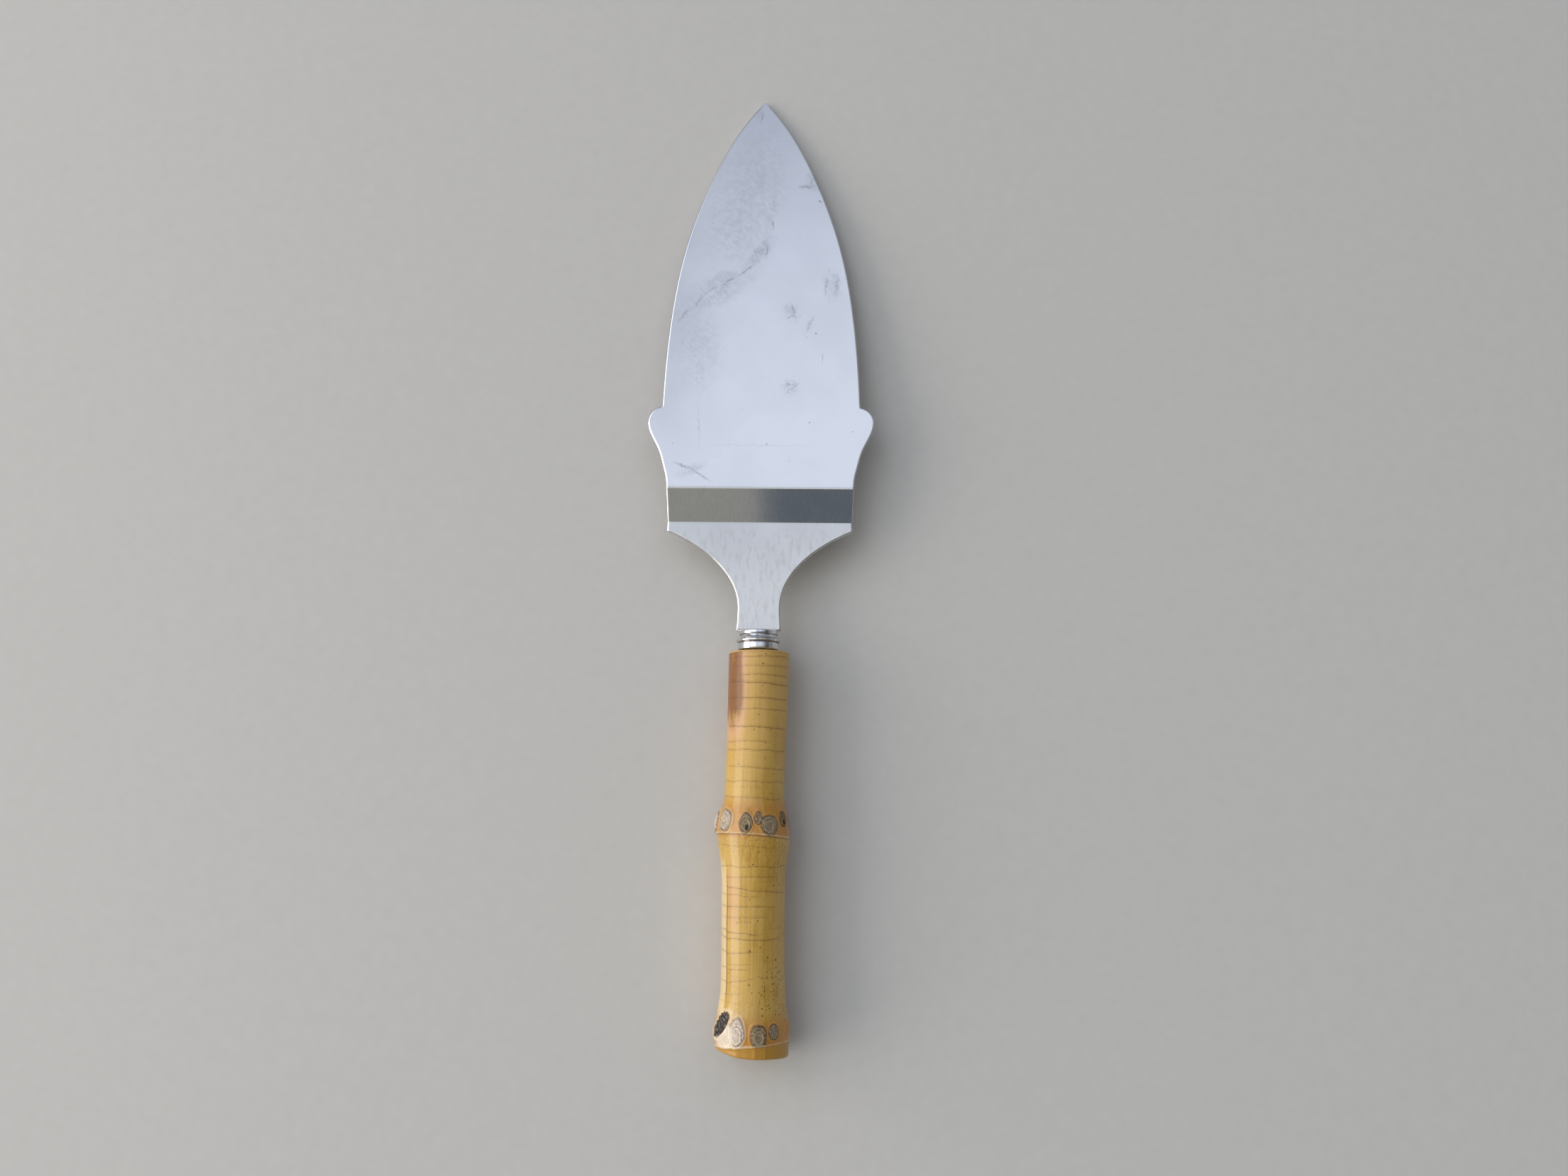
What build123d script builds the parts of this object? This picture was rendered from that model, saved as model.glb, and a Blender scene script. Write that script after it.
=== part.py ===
from build123d import *
import math
import os

# Cake server: a leaf-shaped blade stamped and bent from one steel sheet, a ferrule, and a
# handle cut from a length of bamboo root. Lengths are millimetres.
#
# Frame: the origin is on the blade's underside, on the centre line between the lobes' front ends.
# +Y points from the handle to the blade's tip, level with the table, +X is to the right and +Z
# is up. The server rests on the table with the tip and the handle's butt.

# ---- blade sheet ----
SHEET_T = 1.2
TIP_Y = 97.0
TIP_HALF_W = 1.0
TIP_BLUNT = 0.8
LEAF_HALF_W = 27.1
LOBE_HALF_W = 30.8
LOBE_STEP_Y = 0.55
LOBE_WIDEST_Y = -3.65
LOBE_ROUND = 3.9
FOOT_Y = -22.7
FOOT_HALF_W = 25.2
CREST_Y = -31.7
CREST_HALF_W = 24.8
CORNER_Y = -34.3
CORNER_HALF_W = 24.9
BEND_R = 2.0
# How far the short slanted step lifts the blade's heel above the neck.
STEP_UP = 2.2
# Shape points as (half width, y): the leaf edge below the tip, and the flank behind a lobe.
LEAF_POINTS = [(6.5, 88.5), (14.8, 71.5), (21.9, 49.3), (25.5, 27.3)]
FLANK_POINTS = [(29.85, -7.65), (27.5, -12.5), (26.1, -17.4)]

# ---- neck and the stub that enters the ferrule ----
WAIST_Y = -55.0
WAIST_HALF_W = 5.65
SHOULDER_SWEEP = 50.0
NECK_END_Y = -61.15
NECK_END_HALF_W = 5.95
STUB_W = 3.6
STUB_LENGTH = 8.5

# ---- ferrule ----
RIM_R = 5.1
RIM_ROUND = 0.35
FLARE_R = 5.0
FLARE_Y = -62.5
BEAD_R = 5.85
BEAD_Y = -63.95
BEAD_HALF_L = 0.45
BEAD_LAND_R = 5.6
COLLAR_R = 5.45
COLLAR_END_Y = -66.5
COLLAR_ROUND = 0.3
FRONT_WALL = 1.4
FRONT_HOLE_R = 2.9
CAVITY_R = 4.1

# ---- tang rod and the cement around it ----
ROD_R = 2.5
ROD_FRONT_Y = -61.75
ROD_END_Y = -130.0
ROD_CHAMFER = 0.5
BORE_R = 3.2
BORE_END_Y = -133.0
CEMENT_LIP_R = 5.0

# ---- bamboo handle ----
HANDLE_FRONT_Y = -66.9
HANDLE_END_Y = -168.5
FRONT_R = 8.05
# Shape points as (radius, y): from the front face to the middle node, and on to the butt node.
UPPER_POINTS = [(7.7, -95.0), (8.0, -103.4), (9.0, -109.2)]
LOWER_POINTS = [(8.5, -120.8), (8.1, -132.0), (8.1, -150.0), (8.6, -156.5)]
NODE_R = 9.25
NODE_RIDGE_R = 9.5
NODE_RIDGE_Y = -113.5
BUTT_R = 9.4
BUTT_RIDGE_R = 9.6
BUTT_RIDGE_Y = -164.5
RIDGE_HALF_L = 0.5
CAP_FACE_R = 6.2
END_BREAK = 0.25

# ---- root scars around the two nodes ----
SCAR_COUNT = 9
SCAR_BALL_R = 3.6
SCAR_DEPTH = 0.4
NODE_SCAR_Y = -109.6
NODE_SCAR_R = 9.05
NODE_SCAR_TURN = 90
BUTT_SCAR_Y = -160.6
BUTT_SCAR_R = 9.15
BUTT_SCAR_TURN = 70

# The handle's butt ridge just touches the table, and the blade slopes down from its heel until
# its tip touches too. Heights are from the blade's underside at y = 0.
BLADE_SLOPE = (BUTT_RIDGE_R - SHEET_T / 2 + STEP_UP) / (TIP_Y - FOOT_Y)
TABLE_Z = -TIP_Y * BLADE_SLOPE
AXIS_Z = TABLE_Z + BUTT_RIDGE_R
NECK_Z = AXIS_Z - SHEET_T / 2
HEEL_Z = NECK_Z + STEP_UP


def sheet_side_profile():
    """Side view of the sheet: sloping blade, short step, level neck and stub."""
    stub_end = NECK_END_Y - STUB_LENGTH
    underside = FilletPolyline(
        (TIP_Y + SHEET_T, -(TIP_Y + SHEET_T) * BLADE_SLOPE),
        (FOOT_Y, HEEL_Z),
        (CREST_Y, NECK_Z),
        (stub_end, NECK_Z),
        radius=BEND_R,
    )
    band = offset(underside, SHEET_T, side=Side.RIGHT, closed=True)
    return Plane.YZ * make_face(band)


def shoulder_arc():
    """Concave shoulder from the neck's waist out to the plate corner, a piece of an ellipse."""
    sweep = math.radians(SHOULDER_SWEEP)
    radius_x = (CORNER_HALF_W - WAIST_HALF_W) / (1 - math.cos(sweep))
    radius_y = (CORNER_Y - WAIST_Y) / math.sin(sweep)
    centre = (WAIST_HALF_W + radius_x, WAIST_Y)
    return EllipticalCenterArc(centre, radius_x, radius_y, 180 - SHOULDER_SWEEP, arc_size=SHOULDER_SWEEP)


def right_outline():
    """Right half of the plan outline, from the tip to the end of the stub."""
    tip_side = (TIP_HALF_W, TIP_Y - TIP_BLUNT)
    lobe_top = (LEAF_HALF_W, LOBE_STEP_Y)
    lobe_side = (LOBE_HALF_W, LOBE_WIDEST_Y)
    diagonal = math.sqrt(0.5)
    lobe_mid = (LOBE_HALF_W - LOBE_ROUND * (1 - diagonal), LOBE_WIDEST_Y + LOBE_ROUND * diagonal)
    corner = (CORNER_HALF_W, CORNER_Y)
    shoulder = shoulder_arc()
    neck_end = (NECK_END_HALF_W, NECK_END_Y)
    stub_end = NECK_END_Y - STUB_LENGTH
    flank_points = [lobe_side, *FLANK_POINTS, (FOOT_HALF_W, FOOT_Y)]
    step_run = (CREST_HALF_W - FOOT_HALF_W, CREST_Y - FOOT_Y)
    return [
        Line((0, TIP_Y), tip_side),
        Spline([tip_side, *LEAF_POINTS, lobe_top]),
        ThreePointArc(lobe_top, lobe_mid, lobe_side),
        Spline(flank_points, tangents=[(0, -1), step_run]),
        Line((FOOT_HALF_W, FOOT_Y), (CREST_HALF_W, CREST_Y)),
        Line((CREST_HALF_W, CREST_Y), corner),
        shoulder,
        TangentArc((WAIST_HALF_W, WAIST_Y), neck_end, tangent=(0, -1)),
        Line(neck_end, (STUB_W / 2, NECK_END_Y)),
        Line((STUB_W / 2, NECK_END_Y), (STUB_W / 2, stub_end)),
        Line((STUB_W / 2, stub_end), (0, stub_end)),
    ]


def make_blade():
    """One sheet: the plan outline pushed through the bent side profile."""
    right = Curve() + right_outline()
    left = mirror(right, about=Plane.YZ)
    plan = make_face(right.edges() + left.edges())
    column = Pos(0, 0, TABLE_Z - SHEET_T) * extrude(plan, HEEL_Z - TABLE_Z + 4 * SHEET_T)
    band = extrude(sheet_side_profile(), LOBE_HALF_W + SHEET_T, both=True)
    return column & band


def turned(profile_lines):
    """Solid of revolution about the handle axis, from lines given as (radius, y)."""
    face = make_face(Wire(profile_lines))
    solid = revolve(face, Axis.Y)
    return Pos(0, 0, AXIS_Z) * solid


def make_ferrule():
    """Plated collar: rounded front rim, flare, bead and a short cylinder, open at the back."""
    bead_front = (BEAD_LAND_R, BEAD_Y + BEAD_HALF_L)
    bead_back = (COLLAR_R, BEAD_Y - BEAD_HALF_L)
    rim_start = (RIM_R - RIM_ROUND, NECK_END_Y)
    rim_side = (RIM_R, NECK_END_Y - RIM_ROUND)
    back_start = (COLLAR_R, COLLAR_END_Y + COLLAR_ROUND)
    back_end = (COLLAR_R - COLLAR_ROUND, COLLAR_END_Y)
    wall_y = NECK_END_Y - FRONT_WALL
    return turned([
        Line((FRONT_HOLE_R, NECK_END_Y), rim_start),
        RadiusArc(rim_start, rim_side, RIM_ROUND),
        Line(rim_side, (FLARE_R, FLARE_Y)),
        TangentArc((FLARE_R, FLARE_Y), bead_front, tangent=(0, -1)),
        ThreePointArc(bead_front, (BEAD_R, BEAD_Y), bead_back),
        Line(bead_back, back_start),
        RadiusArc(back_start, back_end, COLLAR_ROUND),
        Line(back_end, (CAVITY_R, COLLAR_END_Y)),
        Line((CAVITY_R, COLLAR_END_Y), (CAVITY_R, wall_y)),
        Line((CAVITY_R, wall_y), (FRONT_HOLE_R, wall_y)),
        Line((FRONT_HOLE_R, wall_y), (FRONT_HOLE_R, NECK_END_Y)),
    ])


def round_bar(radius, front_y, back_y):
    """Plain round bar on the handle axis between two places along Y."""
    bar = Cylinder(radius, front_y - back_y, align=(Align.CENTER, Align.CENTER, Align.MIN))
    return Pos(0, front_y, AXIS_Z) * Rot(90, 0, 0) * bar


def make_tang_rod(blade):
    """Rod into the handle, with a slot in its front end that holds the blade's stub."""
    rod = round_bar(ROD_R, ROD_FRONT_Y, ROD_END_Y)
    ends = rod.edges().filter_by(GeomType.CIRCLE).sort_by(Axis.Y)
    return chamfer(ends[0], ROD_CHAMFER) - blade


def make_ferrule_solder(blade, rod):
    """Solder that fills the ferrule around the stub and the rod."""
    wall_y = NECK_END_Y - FRONT_WALL
    fill = round_bar(FRONT_HOLE_R, NECK_END_Y, wall_y) + round_bar(CAVITY_R, wall_y, COLLAR_END_Y)
    return fill - blade - rod


def make_tang_cement(rod, blade):
    """Cement in the handle's bore, squeezed out as a thin lip under the ferrule."""
    lip = round_bar(CEMENT_LIP_R, COLLAR_END_Y, HANDLE_FRONT_Y)
    plug = round_bar(BORE_R, HANDLE_FRONT_Y, BORE_END_Y)
    return lip + plug - rod - blade


def handle_profile():
    """Half section of the bamboo, from the front face round to the butt, as (radius, y)."""
    front_side = (FRONT_R, HANDLE_FRONT_Y - END_BREAK)
    node_front = (NODE_R, NODE_RIDGE_Y + RIDGE_HALF_L)
    node_back = (NODE_R, NODE_RIDGE_Y - RIDGE_HALF_L)
    butt_front = (BUTT_R, BUTT_RIDGE_Y + RIDGE_HALF_L)
    cap_front = (BUTT_R, BUTT_RIDGE_Y - RIDGE_HALF_L)
    cap_end = (CAP_FACE_R, HANDLE_END_Y)
    return [
        Line((0, HANDLE_FRONT_Y), (FRONT_R - END_BREAK, HANDLE_FRONT_Y)),
        Line((FRONT_R - END_BREAK, HANDLE_FRONT_Y), front_side),
        Spline([front_side, *UPPER_POINTS, node_front]),
        ThreePointArc(node_front, (NODE_RIDGE_R, NODE_RIDGE_Y), node_back),
        Spline([node_back, *LOWER_POINTS, butt_front]),
        ThreePointArc(butt_front, (BUTT_RIDGE_R, BUTT_RIDGE_Y), cap_front),
        TangentArc(cap_front, cap_end, tangent=(0, -1)),
        Line(cap_end, (0, HANDLE_END_Y)),
        Line((0, HANDLE_END_Y), (0, HANDLE_FRONT_Y)),
    ]


def root_scars(ring_y, surface_r, turn):
    """Ring of balls that dimple the surface where the roots grew out of a node."""
    centre_r = surface_r + SCAR_BALL_R - SCAR_DEPTH
    balls = []
    for index in range(SCAR_COUNT):
        angle = math.radians(turn + 360 * index / SCAR_COUNT)
        place = (centre_r * math.cos(angle), ring_y, AXIS_Z + centre_r * math.sin(angle))
        balls.append(Pos(*place) * Sphere(SCAR_BALL_R))
    return balls


def make_bamboo_handle():
    """Turned bamboo with two nodes, root scars, and a blind bore for the tang."""
    body = turned(handle_profile()) - round_bar(BORE_R, HANDLE_FRONT_Y, BORE_END_Y)
    node_scars = root_scars(NODE_SCAR_Y, NODE_SCAR_R, NODE_SCAR_TURN)
    butt_scars = root_scars(BUTT_SCAR_Y, BUTT_SCAR_R, BUTT_SCAR_TURN)
    return body - node_scars - butt_scars


def main():
    os.makedirs("parts", exist_ok=True)
    blade = make_blade()
    rod = make_tang_rod(blade)
    nodes = {
        "blade": blade,
        "ferrule": make_ferrule(),
        "ferrule_solder": make_ferrule_solder(blade, rod),
        "tang_rod": rod,
        "tang_cement": make_tang_cement(rod, blade),
        "bamboo_handle": make_bamboo_handle(),
    }
    for name, shape in nodes.items():
        export_step(shape, f"parts/{name}.step")


main()
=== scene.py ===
import math

import bmesh
import bpy
import numpy as np
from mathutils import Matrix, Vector


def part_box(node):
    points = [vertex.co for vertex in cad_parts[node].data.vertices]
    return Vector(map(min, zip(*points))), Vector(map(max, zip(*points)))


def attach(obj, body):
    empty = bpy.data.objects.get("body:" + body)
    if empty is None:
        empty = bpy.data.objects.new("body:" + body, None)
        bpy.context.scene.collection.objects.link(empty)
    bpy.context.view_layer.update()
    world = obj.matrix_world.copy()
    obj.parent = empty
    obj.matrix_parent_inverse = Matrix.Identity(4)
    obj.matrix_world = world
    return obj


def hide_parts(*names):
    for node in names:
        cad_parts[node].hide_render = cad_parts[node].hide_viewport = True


# Looks of the cake server: a stamped steel blade, a plated ferrule and a bamboo-root handle.
# Lengths are millimetres until a mesh is made, and angles on the handle are degrees from its
# top, positive to the right.

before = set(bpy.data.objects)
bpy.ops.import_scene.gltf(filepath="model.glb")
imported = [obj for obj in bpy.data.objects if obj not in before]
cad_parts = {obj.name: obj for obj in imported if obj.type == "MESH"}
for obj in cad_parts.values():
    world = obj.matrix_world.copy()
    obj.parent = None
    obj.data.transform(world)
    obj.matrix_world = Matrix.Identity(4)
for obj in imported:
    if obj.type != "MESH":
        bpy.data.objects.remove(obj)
bpy.context.view_layer.update()

MM = 0.001
BODY = "root"

# ---- the blade's sheet: thickness, the two bends of the step, and the rounding of its edge ----
SHEET_T = 1.2
FOOT_Y = -22.7
CREST_Y = -31.7
STEP_UP = 2.2
FOOT_R = 1.6
CREST_R = 2.0
EDGE_R = 0.42
EDGE_STEPS = 5
# Width of the strip of narrow faces that holds the flat faces flat beside the rounding.
SUPPORT = 0.2
BLADE_COLUMNS = 44
OUTLINE_STEP = 0.8
# Rows of points this close together, this far before and after each bend.
BEND_ROW = 0.16
BEND_REACH = 1.4
# A turn of the outline by more degrees than this is a corner and stays sharp.
CORNER_TURN = 18
TIP_POWER = 1.6
# Half width at which the tip is wide enough for the whole rounding.
TIP_EASE = 1.7
WARP_HEIGHT = 0.035
WARP_FULL_Y = 5
STUB_HALF_W = 1.8
# The sheet's side profile is drawn from here, behind the neck, to a little beyond the tip.
PROFILE_BACK_Y = -75
PROFILE_BEYOND = 3.0

# ---- the ferrule's section as (radius, depth behind its front) ----
FERRULE_OUTSIDE = [
    (4.5, 0.0), (4.8, 0.02), (4.98, 0.09), (5.1, 0.24), (5.15, 0.45), (5.15, 0.8), (5.1, 1.0),
    (4.99, 1.12), (4.94, 1.24), (4.96, 1.4), (5.04, 1.62), (5.17, 1.9), (5.36, 2.15), (5.58, 2.34),
    (5.76, 2.46), (5.85, 2.62), (5.86, 2.8), (5.79, 2.97), (5.62, 3.1), (5.44, 3.17), (5.36, 3.27),
    (5.37, 3.4), (5.43, 3.52), (5.45, 3.8), (5.45, 4.6), (5.42, 4.9), (5.34, 5.12), (5.16, 5.28),
    (4.9, 5.35),
]
FERRULE_INSIDE = [(4.1, 5.35), (4.1, 1.4), (2.9, 1.4), (2.9, 0.0)]
FERRULE_COLUMNS = 160
FERRULE_STEP = 0.06
# Where grime sits in it, as (depth, width): the groove, behind the bead, and against the bamboo.
GRIME = [(1.22, 0.13), (3.27, 0.13), (5.35, 0.2)]

# ---- the handle ----
HANDLE_COLUMNS = 252
FRONT_Y = -66.9
ROW_COARSE = 0.6
ROW_FINE = 0.16
# Rows are close together at the two nodes.
MID_NODE_FRONT = -107.4
BUTT_NODE_FRONT = -157.4
CHECK_OFFSETS = (0.14, 0.0, -0.14)
RIDGE_OFFSETS = (0.24, 0.12, 0, -0.12, -0.24)
RIDGE_MID = -113.7
RIDGE_BUTT = -164.4
BORE_R = 3.2
BORE_END = -133.0

# Half section of the bamboo as (y, radius), without its scars and ridges.
STALK = [
    (-66.9, 8.0), (-72, 7.97), (-82, 7.87), (-95, 7.72), (-101, 7.76), (-105.6, 7.92),
    (-108, 8.45), (-110.5, 8.9), (-113.2, 9.28), (-116, 9.3), (-118.3, 8.95), (-120.6, 8.53),
    (-122.8, 8.32), (-125.5, 8.22), (-135.5, 8.15), (-149.3, 8.15), (-152.2, 8.24), (-154.8, 8.43),
    (-157, 8.75), (-159.1, 9.08), (-161.3, 9.32), (-163.4, 9.4), (-165.4, 9.3), (-168.5, 9.2),
]
# Sideways sway of the bamboo's centre as (y, x).
SWAY = [(-66.9, 0.3), (-85, 0.0), (-100, -0.4), (-125, -0.5), (-150, -0.38), (-168.5, -0.3)]

# Root scars as (angle, y, half width, half length, height, paleness, pit).
SCARS = [
    (-90, -110.7, 2.4, 3.0, 1.2, 0.8, 0.2),
    (-54, -110.2, 2.5, 2.7, 0.35, 0.62, 0.3),
    (-12, -110.8, 1.7, 2.5, 0.25, 0.1, 1.0),
    (8, -109.6, 1.0, 1.6, 0.12, 0.05, 0.3),
    (27, -111.2, 2.3, 2.5, 0.3, 0.2, 0.5),
    (58, -109.8, 1.5, 1.9, 0.2, 0.0, 0.9),
    (92, -110.9, 1.6, 2.3, 0.1, 0.2, 0.6),
    (124, -110.4, 2.0, 2.5, 0.15, 0.35, 0.3),
    (160, -111.0, 1.8, 2.3, 0.1, 0.2, 0.8),
    (-160, -110.3, 1.5, 2.2, 0.1, 0.2, 0.2),
    (-126, -110.9, 1.9, 2.6, 0.3, 0.5, 0.6),
    (-23, -160.9, 2.0, 3.2, 0.3, 1.0, 0.0),
    (-39, -162.7, 0.6, 0.6, 0.15, 1.0, 0.0),
    (11, -161.5, 2.05, 2.6, 0.34, 0.12, 0.15),
    (36, -160.8, 1.45, 1.85, 0.2, 0.2, 0.3),
    (112, -161.4, 1.6, 2.2, 0.12, 0.2, 0.5),
    (148, -160.9, 1.9, 2.4, 0.08, 0.3, 0.3),
    (-168, -161.5, 1.7, 2.3, 0.06, 0.2, 0.7),
    (-124, -160.8, 2.0, 2.5, 0.2, 0.4, 0.2),
]
# Places where the skin swells with no scar on it, as (angle, y, half width, half length, height).
SWELLINGS = [(76, -160.3, 1.7, 2.4, 0.4), (-80, -161.8, 2.2, 2.8, 0.55), (-70, -153.5, 2.5, 5.0, 0.12)]

# Checks (cracks across the stalk) as (y on top, lean, first angle, last angle, strength).
# The lean is how much further along +Y a check runs at its right side.
CHECKS = [
    (-67.5, 0.1, -85, 85, 0.4),
    (-68.7, 0.15, -64, 82, 0.7),
    (-71.1, 0.0, -50, 75, 0.6),
    (-73.4, -0.2, -40, 75, 0.7),
    (-75.5, -0.6, -68, 75, 1.0),
    (-79.4, -0.2, -64, 75, 0.9),
    (-82.2, -0.1, -58, 75, 0.7),
    (-86.8, -0.35, -66, 72, 0.9),
    (-90.4, 0.0, -72, 24, 0.6),
    (-92.6, -0.2, -68, 78, 0.7),
    (-97.0, -0.5, -58, 78, 0.65),
    (-100.5, -0.2, -74, 75, 0.6),
    (-101.9, 0.0, -30, 20, 0.25),
    (-104.6, -0.5, -78, 60, 0.65),
    (-116.6, -0.4, -66, 33, 0.4),
    (-121.5, 0.0, -80, 76, 0.7),
    (-124.0, 0.2, -54, 42, 0.65),
    (-127.2, -0.9, -54, 74, 0.8),
    (-128.7, -0.4, -95, 10, 0.55),
    (-131.2, 0.0, -95, 42, 0.75),
    (-133.8, 0.2, -95, 27, 0.5),
    (-134.8, 0.0, -26, -2, 0.5),
    (-136.4, 0.0, 33, 60, 0.4),
    (-137.8, -0.5, -95, 12, 0.85),
    (-139.1, -0.1, -95, 55, 0.85),
    (-142.1, 0.6, -95, 3, 0.8),
    (-144.4, 0.3, 27, 45, 0.4),
    (-144.9, 0.4, -50, -3, 0.45),
    (-146.1, 0.4, -95, -8, 0.6),
    (-148.4, 1.5, -88, 3, 0.6),
    (-151.4, 1.2, -64, -15, 0.5),
    (-154.3, -0.3, -78, -20, 0.35),
    (-158.0, -0.5, -40, -16, 0.7),
]
# The larger specks as (angle, y, radius).
SPECKS = [
    (40, -126.1, 0.27), (53, -126.0, 0.24), (-4, -141.7, 0.3), (46, -144.0, 0.34), (55, -147.0, 0.3),
    (-22, -134.1, 0.17), (-28, -135.1, 0.17), (-47, -147.2, 0.2), (-5, -129.5, 0.16), (9, -70.6, 0.26),
    (9, -78.1, 0.15), (3, -83.6, 0.2),
]
# The burnt patch on the butt: angle, y, half width, half length and tilt.
BURN = (-58, -159.7, 1.95, 4.1, 42)
# The lengthwise groove, and the nearly flat strip to the left of it.
GROOVE_ANGLE = -52
GROOVE_SPAN = (-121, -153)
FACET_ANGLE = 42
# Length of one degree round the skin.
ARC = 0.143


# ---------------------------------------------------------------- small maths

def smoothstep(low, high, value):
    t = np.clip((value - low) / (high - low), 0, 1)
    return t * t * (3 - 2 * t)


def bell(value, width):
    """Bell that is 1 where value is 0."""
    return np.exp(-(value / width) ** 2)


def between(t, reach, start, end, start_slope, end_slope):
    """Smooth curve from start to end while t goes from 0 to 1 over a reach, with given slopes."""
    first = (1 + 2 * t) * (1 - t) ** 2 * start + t * (1 - t) ** 2 * reach * start_slope
    second = t * t * (3 - 2 * t) * end + t * t * (t - 1) * reach * end_slope
    return first + second


def along(table, y):
    """Smooth value at y from a table of (y, value) pairs that runs towards -Y."""
    places = np.array([-p[0] for p in table])
    values = np.array([p[1] for p in table])
    slopes = np.gradient(values, places)
    x = np.clip(-np.asarray(y, float), places[0], places[-1])
    i = np.clip(np.searchsorted(places, x) - 1, 0, len(places) - 2)
    h = places[i + 1] - places[i]
    return between((x - places[i]) / h, h, values[i], values[i + 1], slopes[i], slopes[i + 1])


def ripple(rng, count, low, high):
    """A smooth random function of a turn and a place, in whole waves so that it closes on itself."""
    pitch = rng.integers(low, high + 1, count)
    lean = rng.uniform(-1, 1, count)
    phase = rng.uniform(0, 2 * np.pi, count)

    def value(turn, place=0.0):
        total = 0.0
        for p, q, s in zip(pitch, lean, phase):
            total = total + np.sin(p * turn + q * place + s)
        return total / math.sqrt(count)
    return value


def angle_gap(a, b):
    """Signed difference of two angles in degrees, between -180 and 180."""
    return (a - b + 180) % 360 - 180


# ---------------------------------------------------------------- mesh making

def make_object(name, points, faces, smooth=True):
    """A mesh object from points in millimetres, riding on the only body."""
    mesh = bpy.data.meshes.new(name)
    mesh.from_pydata((np.asarray(points) * MM).tolist(), [], faces)
    mesh.validate()
    mesh.update()
    if smooth:
        mesh.shade_smooth()
    piece = bpy.data.objects.new(name, mesh)
    bpy.context.scene.collection.objects.link(piece)
    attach(piece, BODY)
    return piece


def ring_faces(rings, columns, closed=False):
    """Quads between neighbouring rings of points."""
    faces = []
    for i in range(rings if closed else rings - 1):
        a = i * columns
        b = ((i + 1) % rings) * columns
        for j in range(columns):
            k = (j + 1) % columns
            faces.append((a + j, a + k, b + k, b + j))
    return faces


def add_values(piece, name, values):
    """A named number on every point of a piece, for its material to read."""
    layer = piece.data.attributes.new(name, "FLOAT", "POINT")
    layer.data.foreach_set("value", np.asarray(values, dtype=np.float32).ravel())


def face_outwards(piece, join=False):
    """Turns every face outwards, and can first join the points that fall on each other."""
    work = bmesh.new()
    work.from_mesh(piece.data)
    if join:
        bmesh.ops.remove_doubles(work, verts=work.verts, dist=1e-6)
    bmesh.ops.recalc_face_normals(work, faces=work.faces)
    work.to_mesh(piece.data)
    work.free()


def mark_sharp(piece, degrees):
    """Keeps edges sharper than an angle from being shaded smooth."""
    piece.data.set_sharp_from_angle(angle=math.radians(degrees))


def axis_height():
    """Height of the handle's axis in the part's frame."""
    low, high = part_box("bamboo_handle")
    return (low.z + high.z) / 2 / MM


def table_height():
    """Height of the table, where the handle's butt and the blade's tip rest."""
    return min(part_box("bamboo_handle")[0].z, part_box("blade")[0].z) / MM


# ---------------------------------------------------------------- the blade

def cad_half_outline():
    """Right half of the CAD sheet's plan outline as (x, y), from the tip to the neck's end."""
    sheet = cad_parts["blade"].data
    neck_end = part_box("ferrule")[1].y / MM
    found = set()
    for vertex in sheet.vertices:
        x, y = vertex.co.x / MM, vertex.co.y / MM
        if x > STUB_HALF_W / 3 and y > neck_end - 0.01:
            found.add((round(x, 3), round(y, 3)))
    points = sorted(found, key=lambda p: (-p[1], -p[0]))
    widest_at_end = max(p[0] for p in points if p[1] < neck_end + 0.01)
    return [p for p in points if p[1] > neck_end + 0.01 or p[0] == widest_at_end]


def smooth_run(points, step):
    """Points along a smooth curve through the given ones, no further apart than step."""
    p = np.array(points, float)
    if len(p) < 3:
        count = max(1, math.ceil(np.linalg.norm(p[-1] - p[0]) / step))
        return [p[0] + (p[-1] - p[0]) * i / count for i in range(count)]
    length = np.concatenate([[0], np.cumsum(np.linalg.norm(np.diff(p, axis=0), axis=1))])
    slopes = np.stack([np.gradient(p[:, k], length) for k in range(2)], 1)
    out = []
    for i in range(len(p) - 1):
        h = length[i + 1] - length[i]
        count = max(1, math.ceil(h / step))
        for t in np.arange(count) / count:
            out.append(between(t, h, p[i], p[i + 1], slopes[i], slopes[i + 1]))
    return out


def fine_half_outline():
    """The CAD outline made smooth between its corners, with extra points at the two bends."""
    points = cad_half_outline()
    tip_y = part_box("blade")[1].y / MM
    side_x, side_y = points[0]
    tip = [np.array((x, tip_y - (tip_y - side_y) * (x / side_x) ** TIP_POWER))
           for x in np.linspace(0, side_x, 5)[:-1]]
    corners = [0]
    for i in range(1, len(points) - 1):
        before = np.subtract(points[i], points[i - 1])
        after = np.subtract(points[i + 1], points[i])
        turn = math.degrees(math.atan2(*before) - math.atan2(*after))
        if abs(angle_gap(turn, 0)) > CORNER_TURN:
            corners.append(i)
    corners.append(len(points) - 1)
    line = list(tip)
    for a, b in zip(corners, corners[1:]):
        line += smooth_run(points[a:b + 1], OUTLINE_STEP)
    neck_end = np.array(points[-1])
    line = [p for p in line if p[1] > neck_end[1] + 0.9] + [neck_end]
    for bend in (FOOT_Y, CREST_Y):
        for y in np.arange(bend - BEND_REACH, bend + BEND_REACH + 0.1, BEND_ROW):
            line = insert_at(line, y)
    return np.array(line)


def insert_at(line, y):
    """Adds the point where a line that runs towards -Y passes y, unless one is close."""
    for i in range(len(line) - 1):
        if line[i][1] > y > line[i + 1][1]:
            if min(line[i][1] - y, y - line[i + 1][1]) < 0.07:
                return line
            t = (line[i][1] - y) / (line[i][1] - line[i + 1][1])
            return line[:i + 1] + [line[i] + (line[i + 1] - line[i]) * t] + line[i + 1:]
    return line


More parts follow.
